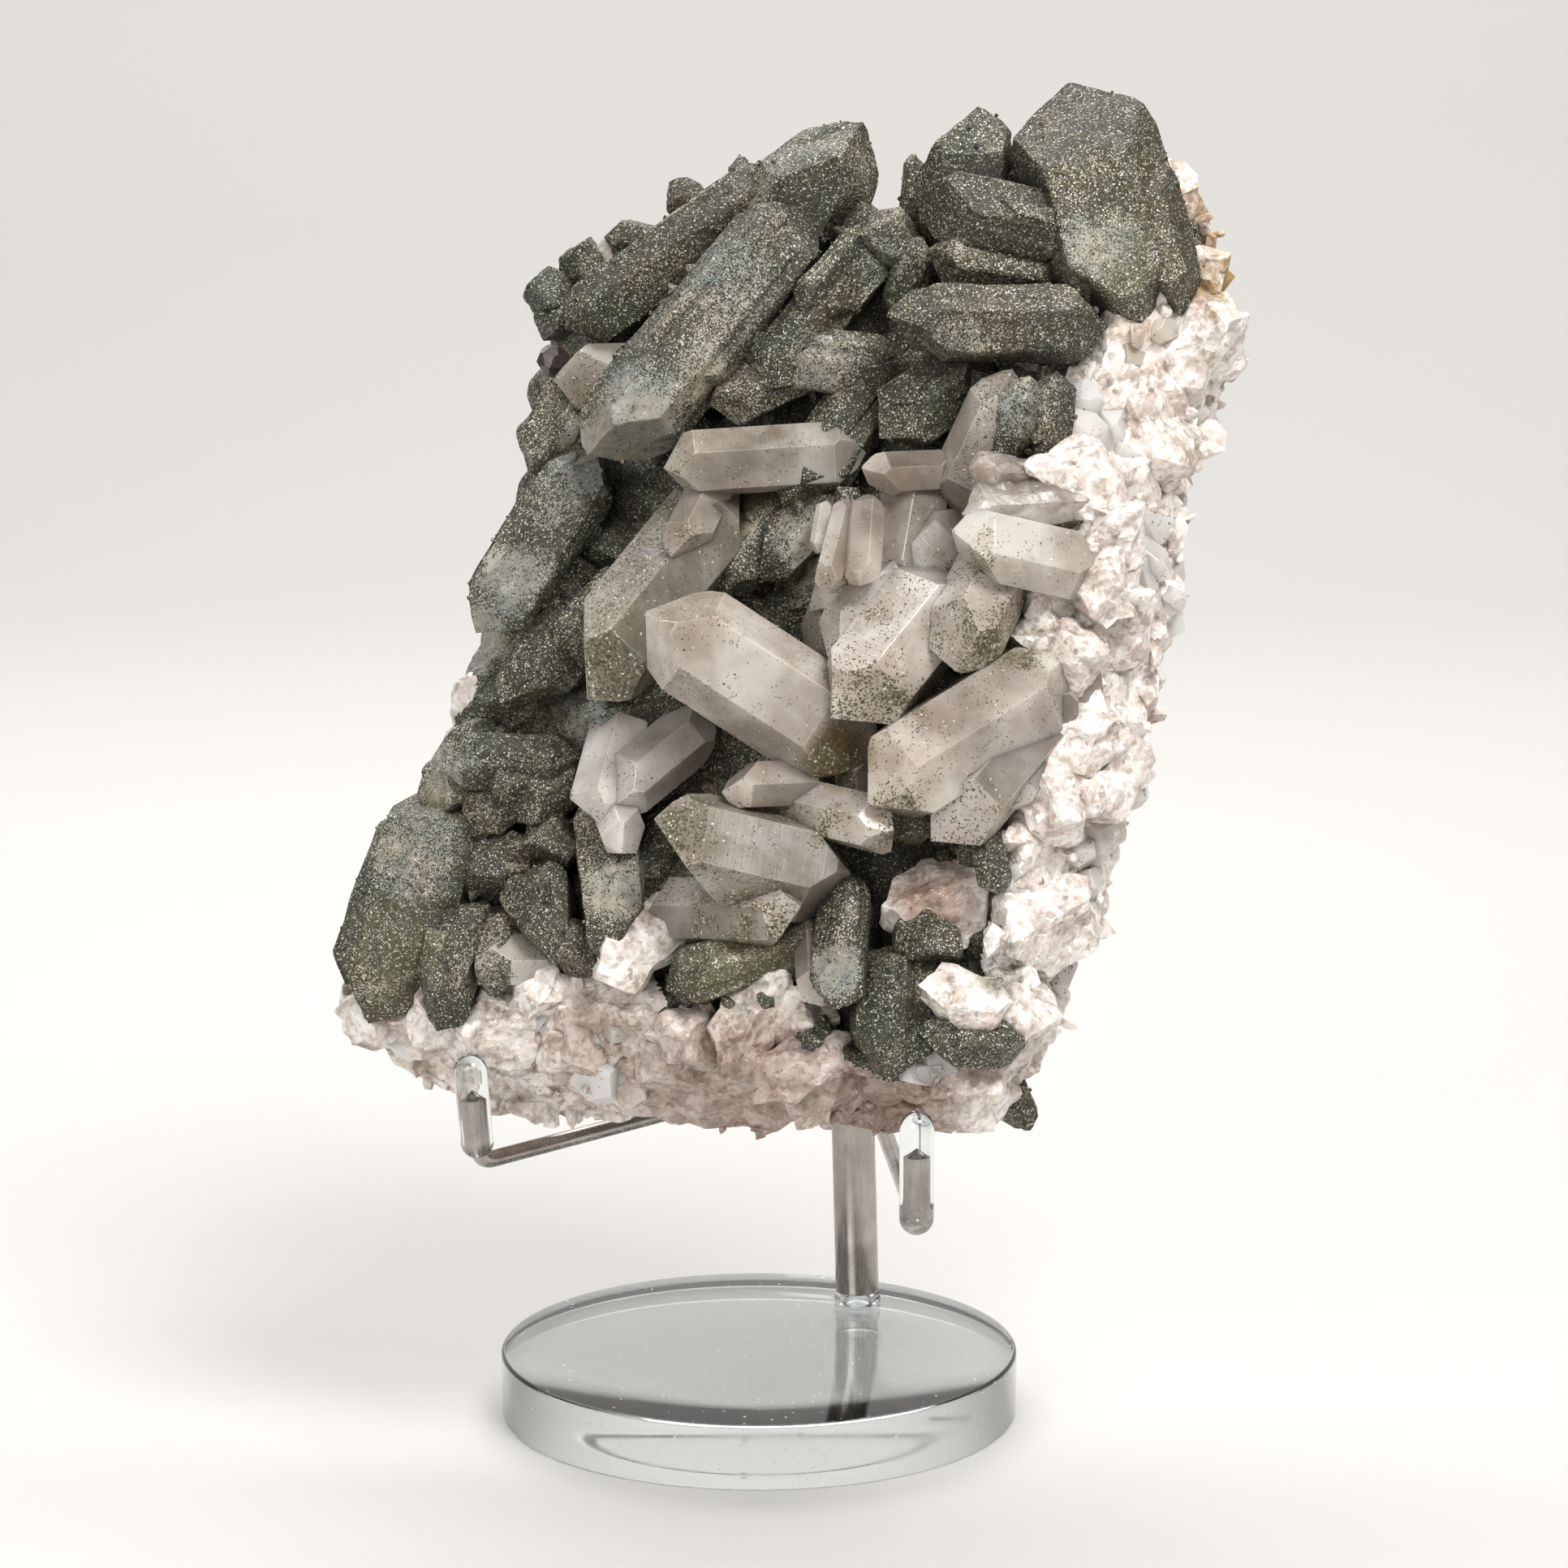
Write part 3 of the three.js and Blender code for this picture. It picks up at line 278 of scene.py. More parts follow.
TAN_PATCHES = [
    (3, 40, 5, 0.8), (24, 42, 4, 0.7), (51, 49, 9, 1), (45, 58, 8, 1), (-16, 56, 5, 0.5), (-22, 55, 4, 0.6),
    (30, 62, 9, 0.4), (-28, 47, 5, 0.4), (42, 38, 5, 0.5), (20, 48, 9, 0.35), (8.5, -16.5, 5, 0.6),
]
MOSS_PATCHES = [
    (-2, -43, 9, 0.9), (18, -24, 5, 0.8), (31, -1, 4, 0.9), (28, 1.5, 5, 1), (24.8, 10, 3, 0.8), (9, -26, 4, 0.7),
    (8.5, -16.5, 5, 0.9), (12.6, -9, 5.5, 0.5), (-10, -28, 5.5, 0.7), (18, -9, 3, 0.6), (-33, 28, 5, 0.5),
    (-16, 12, 4, 0.4), (4, 8, 4, 0.5), (33, -42, 4, 0.8), (37, 49, 8, 0.6), (-46, -24, 6, 0.5), (-8, 18, 4, 0.4),
    (-48, -45, 9, 0.5),
]
ROSE_PATCHES = [(0, -60, 16, 0.8), (20, -60, 12, 0.9), (-18, -57, 10, 0.6), (23, -35, 7, 1), (34, -52, 6, 0.5)]


# ---- Places and repeatable numbers ----

def unit(vectors):
    return vectors / np.linalg.norm(vectors, axis=-1, keepdims=True)


def scatter(i, k):
    """A repeatable number from 0 to 1 for two whole numbers: what follows the point of a large sine."""
    s = np.sin(np.asarray(i, float) * 12.9898 + np.asarray(k, float) * 78.233) * 43758.5453
    return s - np.floor(s)


def place(points):
    """Real places of seen points: each point of the front plane, moved to the eye by height / eye height."""
    points = np.asarray(points, float)
    flat = points * (1, 1, 0)
    return flat + (EYE - flat) * (points[..., 2:] / EYE[2])


def seen(points):
    """Where a real place is seen on the front plane: the line from the eye through it, met with height 0."""
    return points + (points - EYE) * (points[..., 2:] / (EYE[2] - points[..., 2:]))


def plate_axes():
    """The plate's right, up and out, in the stand's axes: leaned back by one angle, then turned by another."""
    ct, st, cl, sl = math.cos(PLATE_TURN), math.sin(PLATE_TURN), math.cos(PLATE_LEAN), math.sin(PLATE_LEAN)
    return np.array([(ct, -st, 0), (st * sl, ct * sl, cl), (-st * cl, -ct * cl, sl)])


PLATE_AXES = plate_axes()


def to_stand(points):
    return points @ PLATE_AXES + PLATE_CENTRE


def noise(points, size, seed):
    """Smooth noise from -1 to 1: random values on a lattice of one size, blended by 3t^2 - 2t^3 on each axis."""
    cells = points / size + seed * 17.31
    low = np.floor(cells)
    t = cells - low
    t = t * t * (3 - 2 * t)
    low = low.astype(np.int64)
    total = np.zeros(len(points))
    for corner in itertools.product((0, 1), repeat=3):
        key = (low + corner) @ np.array([73856093, 19349663, 83492791]) + seed * 7919
        key = ((key ^ (key >> 13)) * 1274126177) & 0xFFFFFFFF
        value = ((key ^ (key >> 16)) & 0xFFFF) / 32767.5 - 1
        total += value * np.prod(np.where(corner, t, 1 - t), axis=1)
    return total


def facet(points, cell, seed):
    """How far broken rock stands out: the tilted plane of the nearest seed point of a jittered grid."""
    base = np.floor(points / cell)
    nearest = np.full(len(points), np.inf)
    height = np.zeros(len(points))
    for step in itertools.product((-1, 0, 1), repeat=3):
        grid = base + step
        key = grid @ np.array([7, 57, 113]) + seed
        away = points / cell - grid - np.stack([scatter(key, k) for k in (1, 2, 3)], axis=1)
        distance = (away * away).sum(1)
        tilt = np.stack([scatter(key, k) for k in (4, 5, 6)], axis=1) - 0.5
        here = (away * tilt).sum(1) + 0.6 * (scatter(key, 7) - 0.5)
        closer = distance < nearest
        nearest = np.where(closer, distance, nearest)
        height = np.where(closer, here, height)
    return height * cell


def blocks(points, cell, seed):
    """How far small crystal points stand out, and a number for the face that each place is on.

    Each seed point of a jittered grid holds a block turned its own way. It stands out by its own level less the
    largest of the place's three distances from it, one along each of its axes, and the highest block wins.
    """
    spots = points / cell
    base = np.floor(spots - 0.5)
    height, lot = np.full(len(points), -np.inf), np.zeros(len(points))
    for step in itertools.product((0, 1), repeat=3):
        grid = base + step
        key = grid @ np.array([7, 57, 113]) + seed
        away = spots - grid - 0.2 - 0.6 * np.stack([scatter(key, k) for k in (1, 2, 3)], axis=1)
        first = unit(np.stack([scatter(key, k) - 0.5 for k in (4, 5, 6)], axis=1) + 1e-3)
        second = unit(np.cross(first, (0.37, 0.61, 0.7)))
        along = np.stack([(away * way).sum(1) for way in (first, second, np.cross(first, second))], axis=1)
        face = np.abs(along).argmax(1)
        level = 0.5 * scatter(key, 7) - np.abs(along).max(1)
        side = face + 3 * (along[np.arange(len(face)), face] > 0)
        higher = level > height
        height = np.where(higher, level, height)
        lot = np.where(higher, scatter(key + side * 31, 8), lot)
    return (height + 0.15) * cell, lot


# ---- Bodies inside planes ----

class Planes:
    """A convex body as outward directions and their reaches, with the line that runs along its middle."""

    def __init__(self, sides, reaches, foot, top, apothem):
        self.sides, self.reaches = np.asarray(sides), np.asarray(reaches)
        self.foot, self.top, self.apothem = foot, top, apothem

    def inside(self, points, margin=0.0):
        return (points @ self.sides.T <= self.reaches + margin).all(1)


def crystal(top, foot, width, turn, lead, blunt, seed):
    """Six prism faces at uneven distances round the axis, and at both ends six faces at the slope of quartz.

    Three faces of a point stand further out than the other three, and one of them has grown over the rest.
    """
    length = np.linalg.norm(top - foot)
    axis = (top - foot) / length
    outward = np.array([0.0, 1, 0]) if abs(axis[2]) > 0.95 else np.array([0.0, 0, 1])
    first = unit(outward - axis * (outward @ axis))
    turn = math.radians(turn)
    first = first * math.cos(turn) + np.cross(axis, first) * math.sin(turn)
    second = np.cross(axis, first)
    apothem = width / 2
    k = np.arange(6)
    angle = k[:, None] * math.pi / 3
    side = np.cos(angle) * first + np.sin(angle) * second
    reach = apothem * (0.84 + 0.2 * scatter(seed, k))
    minor = np.where(k % 2 == lead % 2, 0, 0.22 + 0.3 * scatter(seed, k + 6))
    cut = np.where(k == lead, 0.55, 0)
    slope = side * math.cos(RHOMB_SLOPE) + axis * math.sin(RHOMB_SLOPE)
    back = side * math.cos(RHOMB_SLOPE) - axis * math.sin(RHOMB_SLOPE)
    tip_points = top + axis * ((minor - cut) * apothem)[:, None]
    back_points = foot - axis * ((1 - minor) * apothem)[:, None]
    sides = [*side, *slope, *back]
    reaches = [*(side @ foot + reach), *(slope * tip_points).sum(1), *(back * back_points).sum(1)]
    if blunt:
        lid = axis * math.cos(0.2) - second * math.sin(0.2)
        sides.append(lid)
        reaches.append(lid @ foot + length - blunt * width)
    return Planes(sides, reaches, foot, top, apothem)


def lump(middle, radius, facets, roughness, seed):
    """Facets all round a middle at uneven distances, in directions that follow a spiral on a sphere."""
    k = np.arange(facets)
    z = 1 - (2 * (k + 0.5)) / facets
    angle = k * GOLDEN_TURN + 2 * math.pi * scatter(seed, 50)
    flat = np.sqrt(1 - z * z)
    side = np.stack([flat * np.cos(angle), flat * np.sin(angle), z], axis=1)
    side[:, 0] += 0.25 * (scatter(seed, k) - 0.5)
    side[:, 1] += 0.25 * (scatter(seed, k + 20) - 0.5)
    side = unit(side)
    middle = np.asarray(middle, float)
    reach = radius * (1 - roughness * scatter(seed, k + 40))
    return Planes(side, side @ middle + reach, middle, middle, radius)


# ---- Surfaces ----

class Skin:
    """Points in plate millimetres, the triangles between them and a number for the face each is on."""

    def __init__(self, points, triangles, lots=None):
        self.points, self.triangles = np.asarray(points, float), np.asarray(triangles, np.int64)
        self.lots = np.full(len(self.triangles), 0.5) if lots is None else lots


def joined(skins):
    starts = np.cumsum([0] + [len(s.points) for s in skins[:-1]])
    triangles = [s.triangles + start for s, start in zip(skins, starts)]
    lots = np.concatenate([s.lots for s in skins])
    return Skin(np.concatenate([s.points for s in skins]), np.concatenate(triangles), lots)


def wrapped(grid, low, high):
    """A closed skin of a grid of rows and columns that goes round, with a point to close it at each end."""
    rows, columns = grid.shape[:2]
    number = np.arange(rows * columns).reshape(rows, columns)
    a, b = number[:-1], np.roll(number, -1, axis=1)[:-1]
    c, d = np.roll(number, -1, axis=1)[1:], number[1:]
    sides = np.concatenate([np.stack([a, b, c], -1).reshape(-1, 3), np.stack([a, c, d], -1).reshape(-1, 3)])
    foot, top = rows * columns, rows * columns + 1
    first, last = number[0], number[-1]
    caps = [
        np.stack([np.full(columns, foot), np.roll(first, -1), first], -1),
        np.stack([last, np.roll(last, -1), np.full(columns, top)], -1),
    ]
    return Skin(np.concatenate([grid.reshape(-1, 3), [low, high]]), np.concatenate([sides, *caps]))


def corner_normals(skin):
    """Each point's outward direction: the sum of its triangles' cross products."""
    a, b, c = (skin.points[skin.triangles[:, n]] for n in range(3))
    across = np.cross(b - a, c - a)
    total = np.zeros_like(skin.points)
    for n in range(3):
        np.add.at(total, skin.triangles[:, n], across)
    return total / np.maximum(np.linalg.norm(total, axis=1, keepdims=True), 1e-12)


def rounded(planes, cell, sharpness, relief, seed=0):
    """A body inside planes with softened edges, as a grid of rays from its middle line.

    A ray reaches (sum of share^sharpness)^(-1/sharpness), where a plane's share is the direction's part along
    it over the distance to it. That is nearly the nearest plane, rounded where two are equally near. Then the
    relief is added along the ray. Each point keeps a number of the face it is on. The rows sweep round the foot,
    go up the side and sweep over the tip.
    """
    line = planes.top - planes.foot
    length = np.linalg.norm(line)
    a = planes.apothem
    if length < 1e-6:
        axis, start, end = np.array([0.0, 0, 1]), planes.foot, planes.foot
    else:
        axis = line / length
        start, end = planes.foot, planes.top - axis * min(1.27 * a, 0.7 * length)
    across = unit(np.cross(axis, (0.3, 0.8, 0.1)))
    second = np.cross(axis, across)
    columns = max(18, int(2 * math.pi * a / cell))
    turns = max(5, int(0.5 * math.pi * a / cell))
    ups = max(1, int(np.linalg.norm(end - start) / cell))
    sweep = (np.arange(turns) + 0.6) / turns * math.pi / 2
    tilt = np.concatenate([math.pi - sweep, np.full(ups, math.pi / 2), sweep[::-1]])
    share = np.concatenate([np.zeros(turns), (np.arange(ups) + 0.5) / ups, np.ones(turns)])
    angle = np.arange(columns) / columns * 2 * math.pi
    ring = np.cos(angle)[:, None] * across + np.sin(angle)[:, None] * second
    rays = np.sin(tilt)[:, None, None] * ring + np.cos(tilt)[:, None, None] * axis
    origin = np.broadcast_to((start + share[:, None] * (end - start))[:, None], rays.shape)
    rays = np.concatenate([rays.reshape(-1, 3), [-axis, axis]])
    origin = np.concatenate([origin.reshape(-1, 3), [start, end]])
    shares = np.maximum(rays @ planes.sides.T, 0) / np.maximum(planes.reaches - origin @ planes.sides.T, 1e-3)
    points = origin + rays * ((shares**sharpness).sum(1) ** (-1 / sharpness))[:, None]
    points = points + rays * relief(points)[:, None]
    skin = wrapped(points[:-2].reshape(len(tilt), columns, 3), points[-2], points[-1])
    skin.lots = scatter(shares.argmax(1), seed)[skin.triangles[:, 0]]
    return skin


def corners_of(sides, reaches):
    """Corner points of the body inside planes: where three planes meet, if no other plane cuts it off."""
    three = np.array(list(itertools.combinations(range(len(sides)), 3)))
    meeting = sides[three]
    sound = np.abs(np.linalg.det(meeting)) > 1e-5
    corners = np.linalg.solve(meeting[sound], reaches[three[sound]][..., None])[..., 0]
    corners = corners[(corners @ sides.T <= reaches + 1e-6).all(1)]
    return corners[np.unique(np.round(corners, 4), axis=0, return_index=True)[1]]


def flat_faced(planes, edge=0.0):
    """The exact body inside planes, each face a fan of triangles. Edge is how wide its edges are ground off."""
    sides, reaches = planes.sides, planes.reaches
    corners = corners_of(sides, reaches)
    if edge:
        touching = np.abs(corners @ sides.T - reaches) < 1e-4
        pairs = [
            (i, j)
            for i, j in itertools.combinations(range(len(sides)), 2)
            if (touching[:, i] & touching[:, j]).sum() >= 2
        ]
        i, j = np.array(pairs).T
        between = sides[i] + sides[j]
        size = np.linalg.norm(between, axis=1)
        level = (reaches[i] + reaches[j]) / size
        half = np.sqrt(np.maximum(1 - (size / 2) ** 2, 0))
        sides = np.concatenate([sides, between / size[:, None]])
        reaches = np.concatenate([reaches, level - 0.5 * edge * half])
        corners = corners_of(sides, reaches)
    triangles = []
    for side, reach in zip(sides, reaches):
        on = np.flatnonzero(np.abs(corners @ side - reach) < 1e-4)
        if len(on) < 3:
            continue
        middle = corners[on].mean(0)
        first = unit(corners[on[0]] - middle)
        second = np.cross(side, first)
        order = on[np.argsort(np.arctan2((corners[on] - middle) @ second, (corners[on] - middle) @ first))]
        triangles += [(order[0], order[n], order[n + 1]) for n in range(1, len(order) - 1)]
    return Skin(corners, triangles)


def split_long(skin, longest):
    """Halves every edge over a length and refits the triangles, until none is left.

    The length is a number, or a function that gives it for places.
    """
    points, triangles = skin.points, skin.triangles
    for _ in range(14):
        ends = np.sort(np.concatenate([triangles[:, [0, 1]], triangles[:, [1, 2]], triangles[:, [2, 0]]]), axis=1)
        edges, which = np.unique(ends, axis=0, return_inverse=True)
        which = which.reshape(3, -1).T
        limit = longest(points[edges].mean(1)) if callable(longest) else longest
        long = np.linalg.norm(points[edges[:, 0]] - points[edges[:, 1]], axis=1) > limit
        if not long.any():
            break
        middle = np.full(len(edges), -1)
        middle[long] = len(points) + np.arange(long.sum())
        points = np.concatenate([points, points[edges[long]].mean(1)])
        made = []
        cut = long[which]
        for case in itertools.product((False, True), repeat=3):
            rows = (cut == case).all(1)
            if not rows.any():
                continue
            a, b, c = triangles[rows].T
            ab, bc, ca = middle[which[rows]].T
            parts = {
                (False, False, False): [(a, b, c)],
                (True, False, False): [(a, ab, c), (ab, b, c)],
                (False, True, False): [(a, b, bc), (a, bc, c)],
                (False, False, True): [(a, b, ca), (ca, b, c)],
                (True, True, False): [(a, ab, c), (ab, b, bc), (ab, bc, c)],
                (False, True, True): [(a, b, bc), (a, bc, ca), (bc, c, ca)],
                (True, False, True): [(a, ab, ca), (ab, b, c), (ab, c, ca)],
                (True, True, True): [(a, ab, ca), (ab, b, bc), (bc, c, ca), (ab, bc, ca)],
            }[case]
            made += [np.stack(part, -1) for part in parts]
        triangles = np.concatenate(made)
    return Skin(points, triangles)


def cut_body(planes, edge, longest, seed):
    """The exact body in fine triangles: its skin, the face that each triangle is on, and which are ground edges."""
    skin = split_long(flat_faced(planes, edge), longest)
    a, b, c = (skin.points[skin.triangles[:, k]] for k in range(3))
    out = np.cross(b - a, c - a)
    out /= np.maximum(np.linalg.norm(out, axis=1, keepdims=True), 1e-12)
    match = out @ planes.sides.T
    face = match.argmax(1)
    skin.lots = scatter(face, seed)
    return skin, face, match.max(1) < 0.998


def coated_body(planes, longest, seed):
    """A crystal under its crust: low lumps of 7 and 2.6 mm, and long raised steps along its faces.

    A step is noise drawn five times as long as it is wide, cut off at 0 and 1 so that it has a rim.
    """
    skin = cut_body(planes, 0.4, longest, seed)[0]
    p = skin.points
    axis = unit(planes.top - planes.foot)
    drawn_out = p - 0.8 * (p @ axis)[:, None] * axis
    steps = 0.3 * np.clip(4 * noise(drawn_out, 3, seed) + 0.4, 0, 1)
    lumps = 0.18 * noise(p, 7, 1) + 0.14 * noise(p, 2.6, 2)
    skin.points = p + corner_normals(skin) * (steps + lumps - 0.2)[:, None]
    return skin


# ---- The matrix plate ----

def reach_of(outline, angles):
    """Distance and height of an outline in each direction from the plate's middle: a ray met with each edge."""
    start = np.array(outline, float)
    end = np.roll(start, -1, axis=0)
    du, dv = np.cos(angles)[:, None], np.sin(angles)[:, None]
    eu, ev = (end - start)[:, :2].T
    su, sv = (start[:, :2] - PLATE_MIDDLE).T
    cross = du * ev - dv * eu
    cross = np.where(np.abs(cross) < 1e-9, np.nan, cross)
    reach = (su * ev - sv * eu) / cross
    share = (su * dv - sv * du) / cross
    reach = np.where((share >= 0) & (share <= 1) & (reach > 0), reach, -1)
    best = np.nanargmax(reach, axis=1)
    row = np.arange(len(angles))
    height = start[best, 2] + share[row, best] * (end - start)[best, 2]
    return reach[row, best], height


def back_at(u):
    return BACK_HEIGHT - BACK_SLOPE * (u - PLATE_MIDDLE[0])


def back_breaks():
    """Sixteen broad flat breaks across the back, on a spiral, each tilted more the further out it lies."""
    k = np.arange(BACK_BREAKS)
    angle = k * GOLDEN_TURN
    out = 0.3 + 0.7 * scatter(k, 31)
    u = PLATE_MIDDLE[0] + 28 * out * np.cos(angle)
    v = PLATE_MIDDLE[1] + 42 * out * np.sin(angle)
    tilt = 0.05 + out * (0.12 + 0.2 * scatter(k, 32))
    side = unit(np.stack([tilt * np.cos(angle) - BACK_SLOPE, tilt * np.sin(angle), -np.ones(len(k))], axis=1))
    middle = np.stack([u, v, back_at(u) + BACK_BREAK_DEPTH], axis=1)
    return side, (side * middle).sum(1)


def plate_profile():
    """The plate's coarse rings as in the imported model, each from the middle of the front round to the back."""
    angles = np.arange(PLATE_STATIONS) / PLATE_STATIONS * 2 * math.pi
    (front, fh), (waist, wh), (back, bh) = (reach_of(o, angles) for o in (FRONT_RIM, WAIST, BACK_RIM))
    back_middle = back_at(PLATE_MIDDLE[0] + 0.5 * back * np.cos(angles))
    level = np.ones(PLATE_STATIONS)
    profile = [
        (0.22 * front, -3 * level), (0.45 * front, -3.5 * level), (0.66 * front, -3 * level),
        (0.84 * front, -2.5 * level), (front, fh), (front + 0.6 * (waist - front), fh + 0.45 * (wh - fh)),
        (waist, wh), (waist + 0.35 * (back - waist), wh + 0.55 * (bh - wh)), (back, bh), (0.78 * back, bh - 2),
        (0.5 * back, back_middle),
    ]
    reach, height = (np.array([p[n] for p in profile]).T for n in (0, 1))
    out = np.stack([np.cos(angles), np.sin(angles), np.zeros(PLATE_STATIONS)], axis=1)[:, None]
    points = out * reach[..., None] + np.array([*PLATE_MIDDLE, 0])
    points[..., 2] = height
    flat = points.reshape(-1, 3)
    lift = (0.42 * facet(flat, 10, 3) + 0.3 * facet(flat, 5, 9)).reshape(reach.shape)
    rim = np.isin(np.arange(reach.shape[1]), (4, 5, 6, 7, 8))
    front_side = np.arange(reach.shape[1]) < 4
    points += np.where(rim, 0.9 * lift - 0.6, 0)[..., None] * out
    points[..., 2] += np.where(rim, 0, np.where(front_side, lift, -lift))
    return points


def plate_fineness(points):
    """How long a triangle of the plate may be: short on the bare broken sides, longer under the crystals."""
    u, v, w = points.T
    side = (w > -26) & ((w < 0.5) & ((u > 26) | (v < -46) | (v > 44) | (u < -36)))
    return np.where(side, 0.95, np.where(w < -12, 1.7, 2.4))


def broken_up(skin, seed, depth=1.0):
    """Breaks a skin up into crystal points of about 4.6 and 2.2 mm that stand out of it."""
    coarse, lot = blocks(skin.points * (0.75, 1, 0.85), 4.6, seed)
    fine, small_lot = blocks(skin.points, 2.2, seed + 12)
    skin.points = skin.points + corner_normals(skin) * (depth * (0.72 * coarse + 0.4 * fine))[:, None]
    skin.lots = (0.55 * lot + 0.45 * small_lot)[skin.triangles[:, 0]]
    return skin


def matrix_plate():
    """The coarse rings in fine triangles, cut by the broad back breaks, then broken up into crystal points."""
    coarse = plate_profile()
    skin = wrapped(np.swapaxes(coarse, 0, 1)[::-1], (*PLATE_MIDDLE, BACK_HEIGHT), (*PLATE_MIDDLE, -3))
    skin = split_long(skin, plate_fineness)
    sides, reaches = back_breaks()
    p = skin.points
    least = ((p[:, :2] @ sides[:, :2].T - reaches) / -sides[:, 2]).max(1)
    p[:, 2] = np.where(p[:, 2] < -12, np.maximum(p[:, 2], least), p[:, 2])
    return broken_up(skin, 21)


def is_coated(points):
    """Where the plate has its green coat: above and left of two ragged lines, and not on its back."""
    spots = seen(points) + np.stack([noise(points, 4, k) * 2.2 for k in (8, 9, 10)], axis=1)
    right = np.interp(spots[:, 1], *np.array(WHITE_FROM_RIGHT).T[::-1])
    low = np.interp(spots[:, 0], *np.array(WHITE_FROM_BELOW).T)
    on_left = np.hypot((spots[:, 0] + 46) / 3, (spots[:, 1] + 14) / 6) > 1
    deep = points[:, 2] + noise(points, 5, 11) * 4
    return (spots[:, 0] < right) & (spots[:, 1] > low) & on_left & (deep > -11)


def matrix_chips(plate, count):
    """Small angular chips that stand out of the broken sides, each a lump stretched along its own way."""
    out = corner_normals(plate)
    side = (plate.points[:, 2] < 1) & (plate.points[:, 2] > -20) & (np.abs(out[:, 2]) < 0.93)
    bare = side & ((plate.points[:, 0] > 20) | (plate.points[:, 1] < -48))
    chosen = np.flatnonzero(bare)
    chosen = chosen[(scatter(np.arange(count), 91) * len(chosen)).astype(int)]
    chips = []
    for n, at in enumerate(chosen):
        radius = 0.5 + 1.9 * scatter(n, 92) ** 2
        chip = flat_faced(lump((0, 0, 0), radius, 8 + n % 4, 0.35, n + 200))
        stretch = 0.7 + 1.5 * np.stack([scatter(n, 93), scatter(n, 94), scatter(n, 95)]) ** 2
        chip.lots = np.full(len(chip.triangles), scatter(n, 97))
        chip.points = chip.points * stretch / 1.3 + plate.points[at] + out[at] * (0.1 + 0.3 * scatter(n, 96)) * radius
        chips.append(chip)
    return joined(chips)


# ---- Small crystals and grains ----

def stray_crystals():
    """Small crystals on the plate's back and upper edge, leaning out at random, sunk a little so that they touch."""
    i = np.arange(STRAY_CRYSTALS)
    angle = 0.35 + (i / STRAY_CRYSTALS) * 2.5 + 0.1 * scatter(i, 1)
    reach, height = reach_of(WAIST, angle)
    r = reach - STRAY_SINK - 5 * scatter(i, 2)
    w = height - 3 - 13 * scatter(i, 3)
    long = 5 + 4 * scatter(i, 4)
    foot = np.stack([PLATE_MIDDLE[0] + r * np.cos(angle), PLATE_MIDDLE[1] + r * np.sin(angle), w], axis=1)
    lean = angle + 1.4 * (scatter(i, 5) - 0.5)
    tip = np.stack([foot[:, 0] + long * np.cos(lean), foot[:, 1] + long * np.sin(lean), w - 3 * scatter(i, 6)], axis=1)
    return [(tip[n], foot[n], 3 + 3 * scatter(n, 7), 60 * scatter(n, 8), n % 6, 0) for n in i]


def side_crystals(rows, bodies, seed):
    """Two or three crystals grown along each coated one, all but parallel, lower on its sides and shorter."""
    found = []
    for n, (body, (_, _, _, turn, lead, _)) in enumerate(zip(bodies, rows)):
        length = np.linalg.norm(body.top - body.foot)
        axis = (body.top - body.foot) / length
        across = unit(np.cross(axis, (0.3, 0.8, 0.1)))
        second = np.cross(axis, across)
        count = 3 if body.apothem > 5.5 else 2
        for m in range(count):
            lot = scatter(n * 11 + m, np.arange(seed, seed + 9))
            angle = (m + 0.7 * lot[0]) / count * 2 * math.pi
            away = (math.cos(angle) * across + math.sin(angle) * second) * body.apothem
            bent = unit(axis + 0.08 * (lot[1:4] - 0.5))
            width = body.apothem * (0.75 + 0.55 * lot[4])
            foot = body.foot + away * (0.5 + 0.25 * lot[5]) + axis * length * 0.1 * lot[6]
            top = foot + bent * length * (0.45 + 0.4 * lot[7])
            found.append(crystal(top, foot, width, turn, lead, 0, n * 11 + m + 500))
    return found


def small_crystals(feet, outs, widths, lengths, seed):
    """Many small quartz points at once: a six-sided prism of uneven reach and a point that leans a little."""
    n = np.arange(len(feet))
    lean = np.stack([scatter(n, seed + k) - 0.5 for k in range(3)], axis=1)
    axis = unit(outs + 1.1 * lean)
    across = unit(np.cross(axis, (0.21, 0.93, 0.31)))
    second = np.cross(axis, across)
    k = np.arange(6)
    angle = (k / 6 * 2 * math.pi)[None] + scatter(n, seed + 4)[:, None]
    reach = widths[:, None] / 2 * (0.85 + 0.3 * scatter(n[:, None] * 7 + k, seed + 5))
    ring = reach[..., None] * (np.cos(angle)[..., None] * across[:, None] + np.sin(angle)[..., None] * second[:, None])
    shoulder = lengths[:, None] - widths[:, None] * (0.45 + 0.3 * scatter(n[:, None] * 7 + k, seed + 6))
    low = feet[:, None] + ring - axis[:, None] * 0.3 * widths[:, None, None]
    high = feet[:, None] + ring + axis[:, None] * shoulder[..., None]
    tip = (feet + axis * lengths[:, None] + ring[:, 0] * 0.25)[:, None]
    points = np.concatenate([low, high, tip], axis=1)
    after = (k + 1) % 6
    around = np.stack([k, after, after + 6], -1), np.stack([k, after + 6, k + 6], -1)
    cap = np.stack([k + 6, after + 6, np.full(6, 12)], -1)
    base = np.array([(0, n + 1, n) for n in range(1, 5)])
    one = np.concatenate([*around, cap, base])
    triangles = (one[None] + (n * 13)[:, None, None]).reshape(-1, 3)
    return Skin(points.reshape(-1, 3), triangles, scatter(np.arange(len(triangles)), seed + 8))


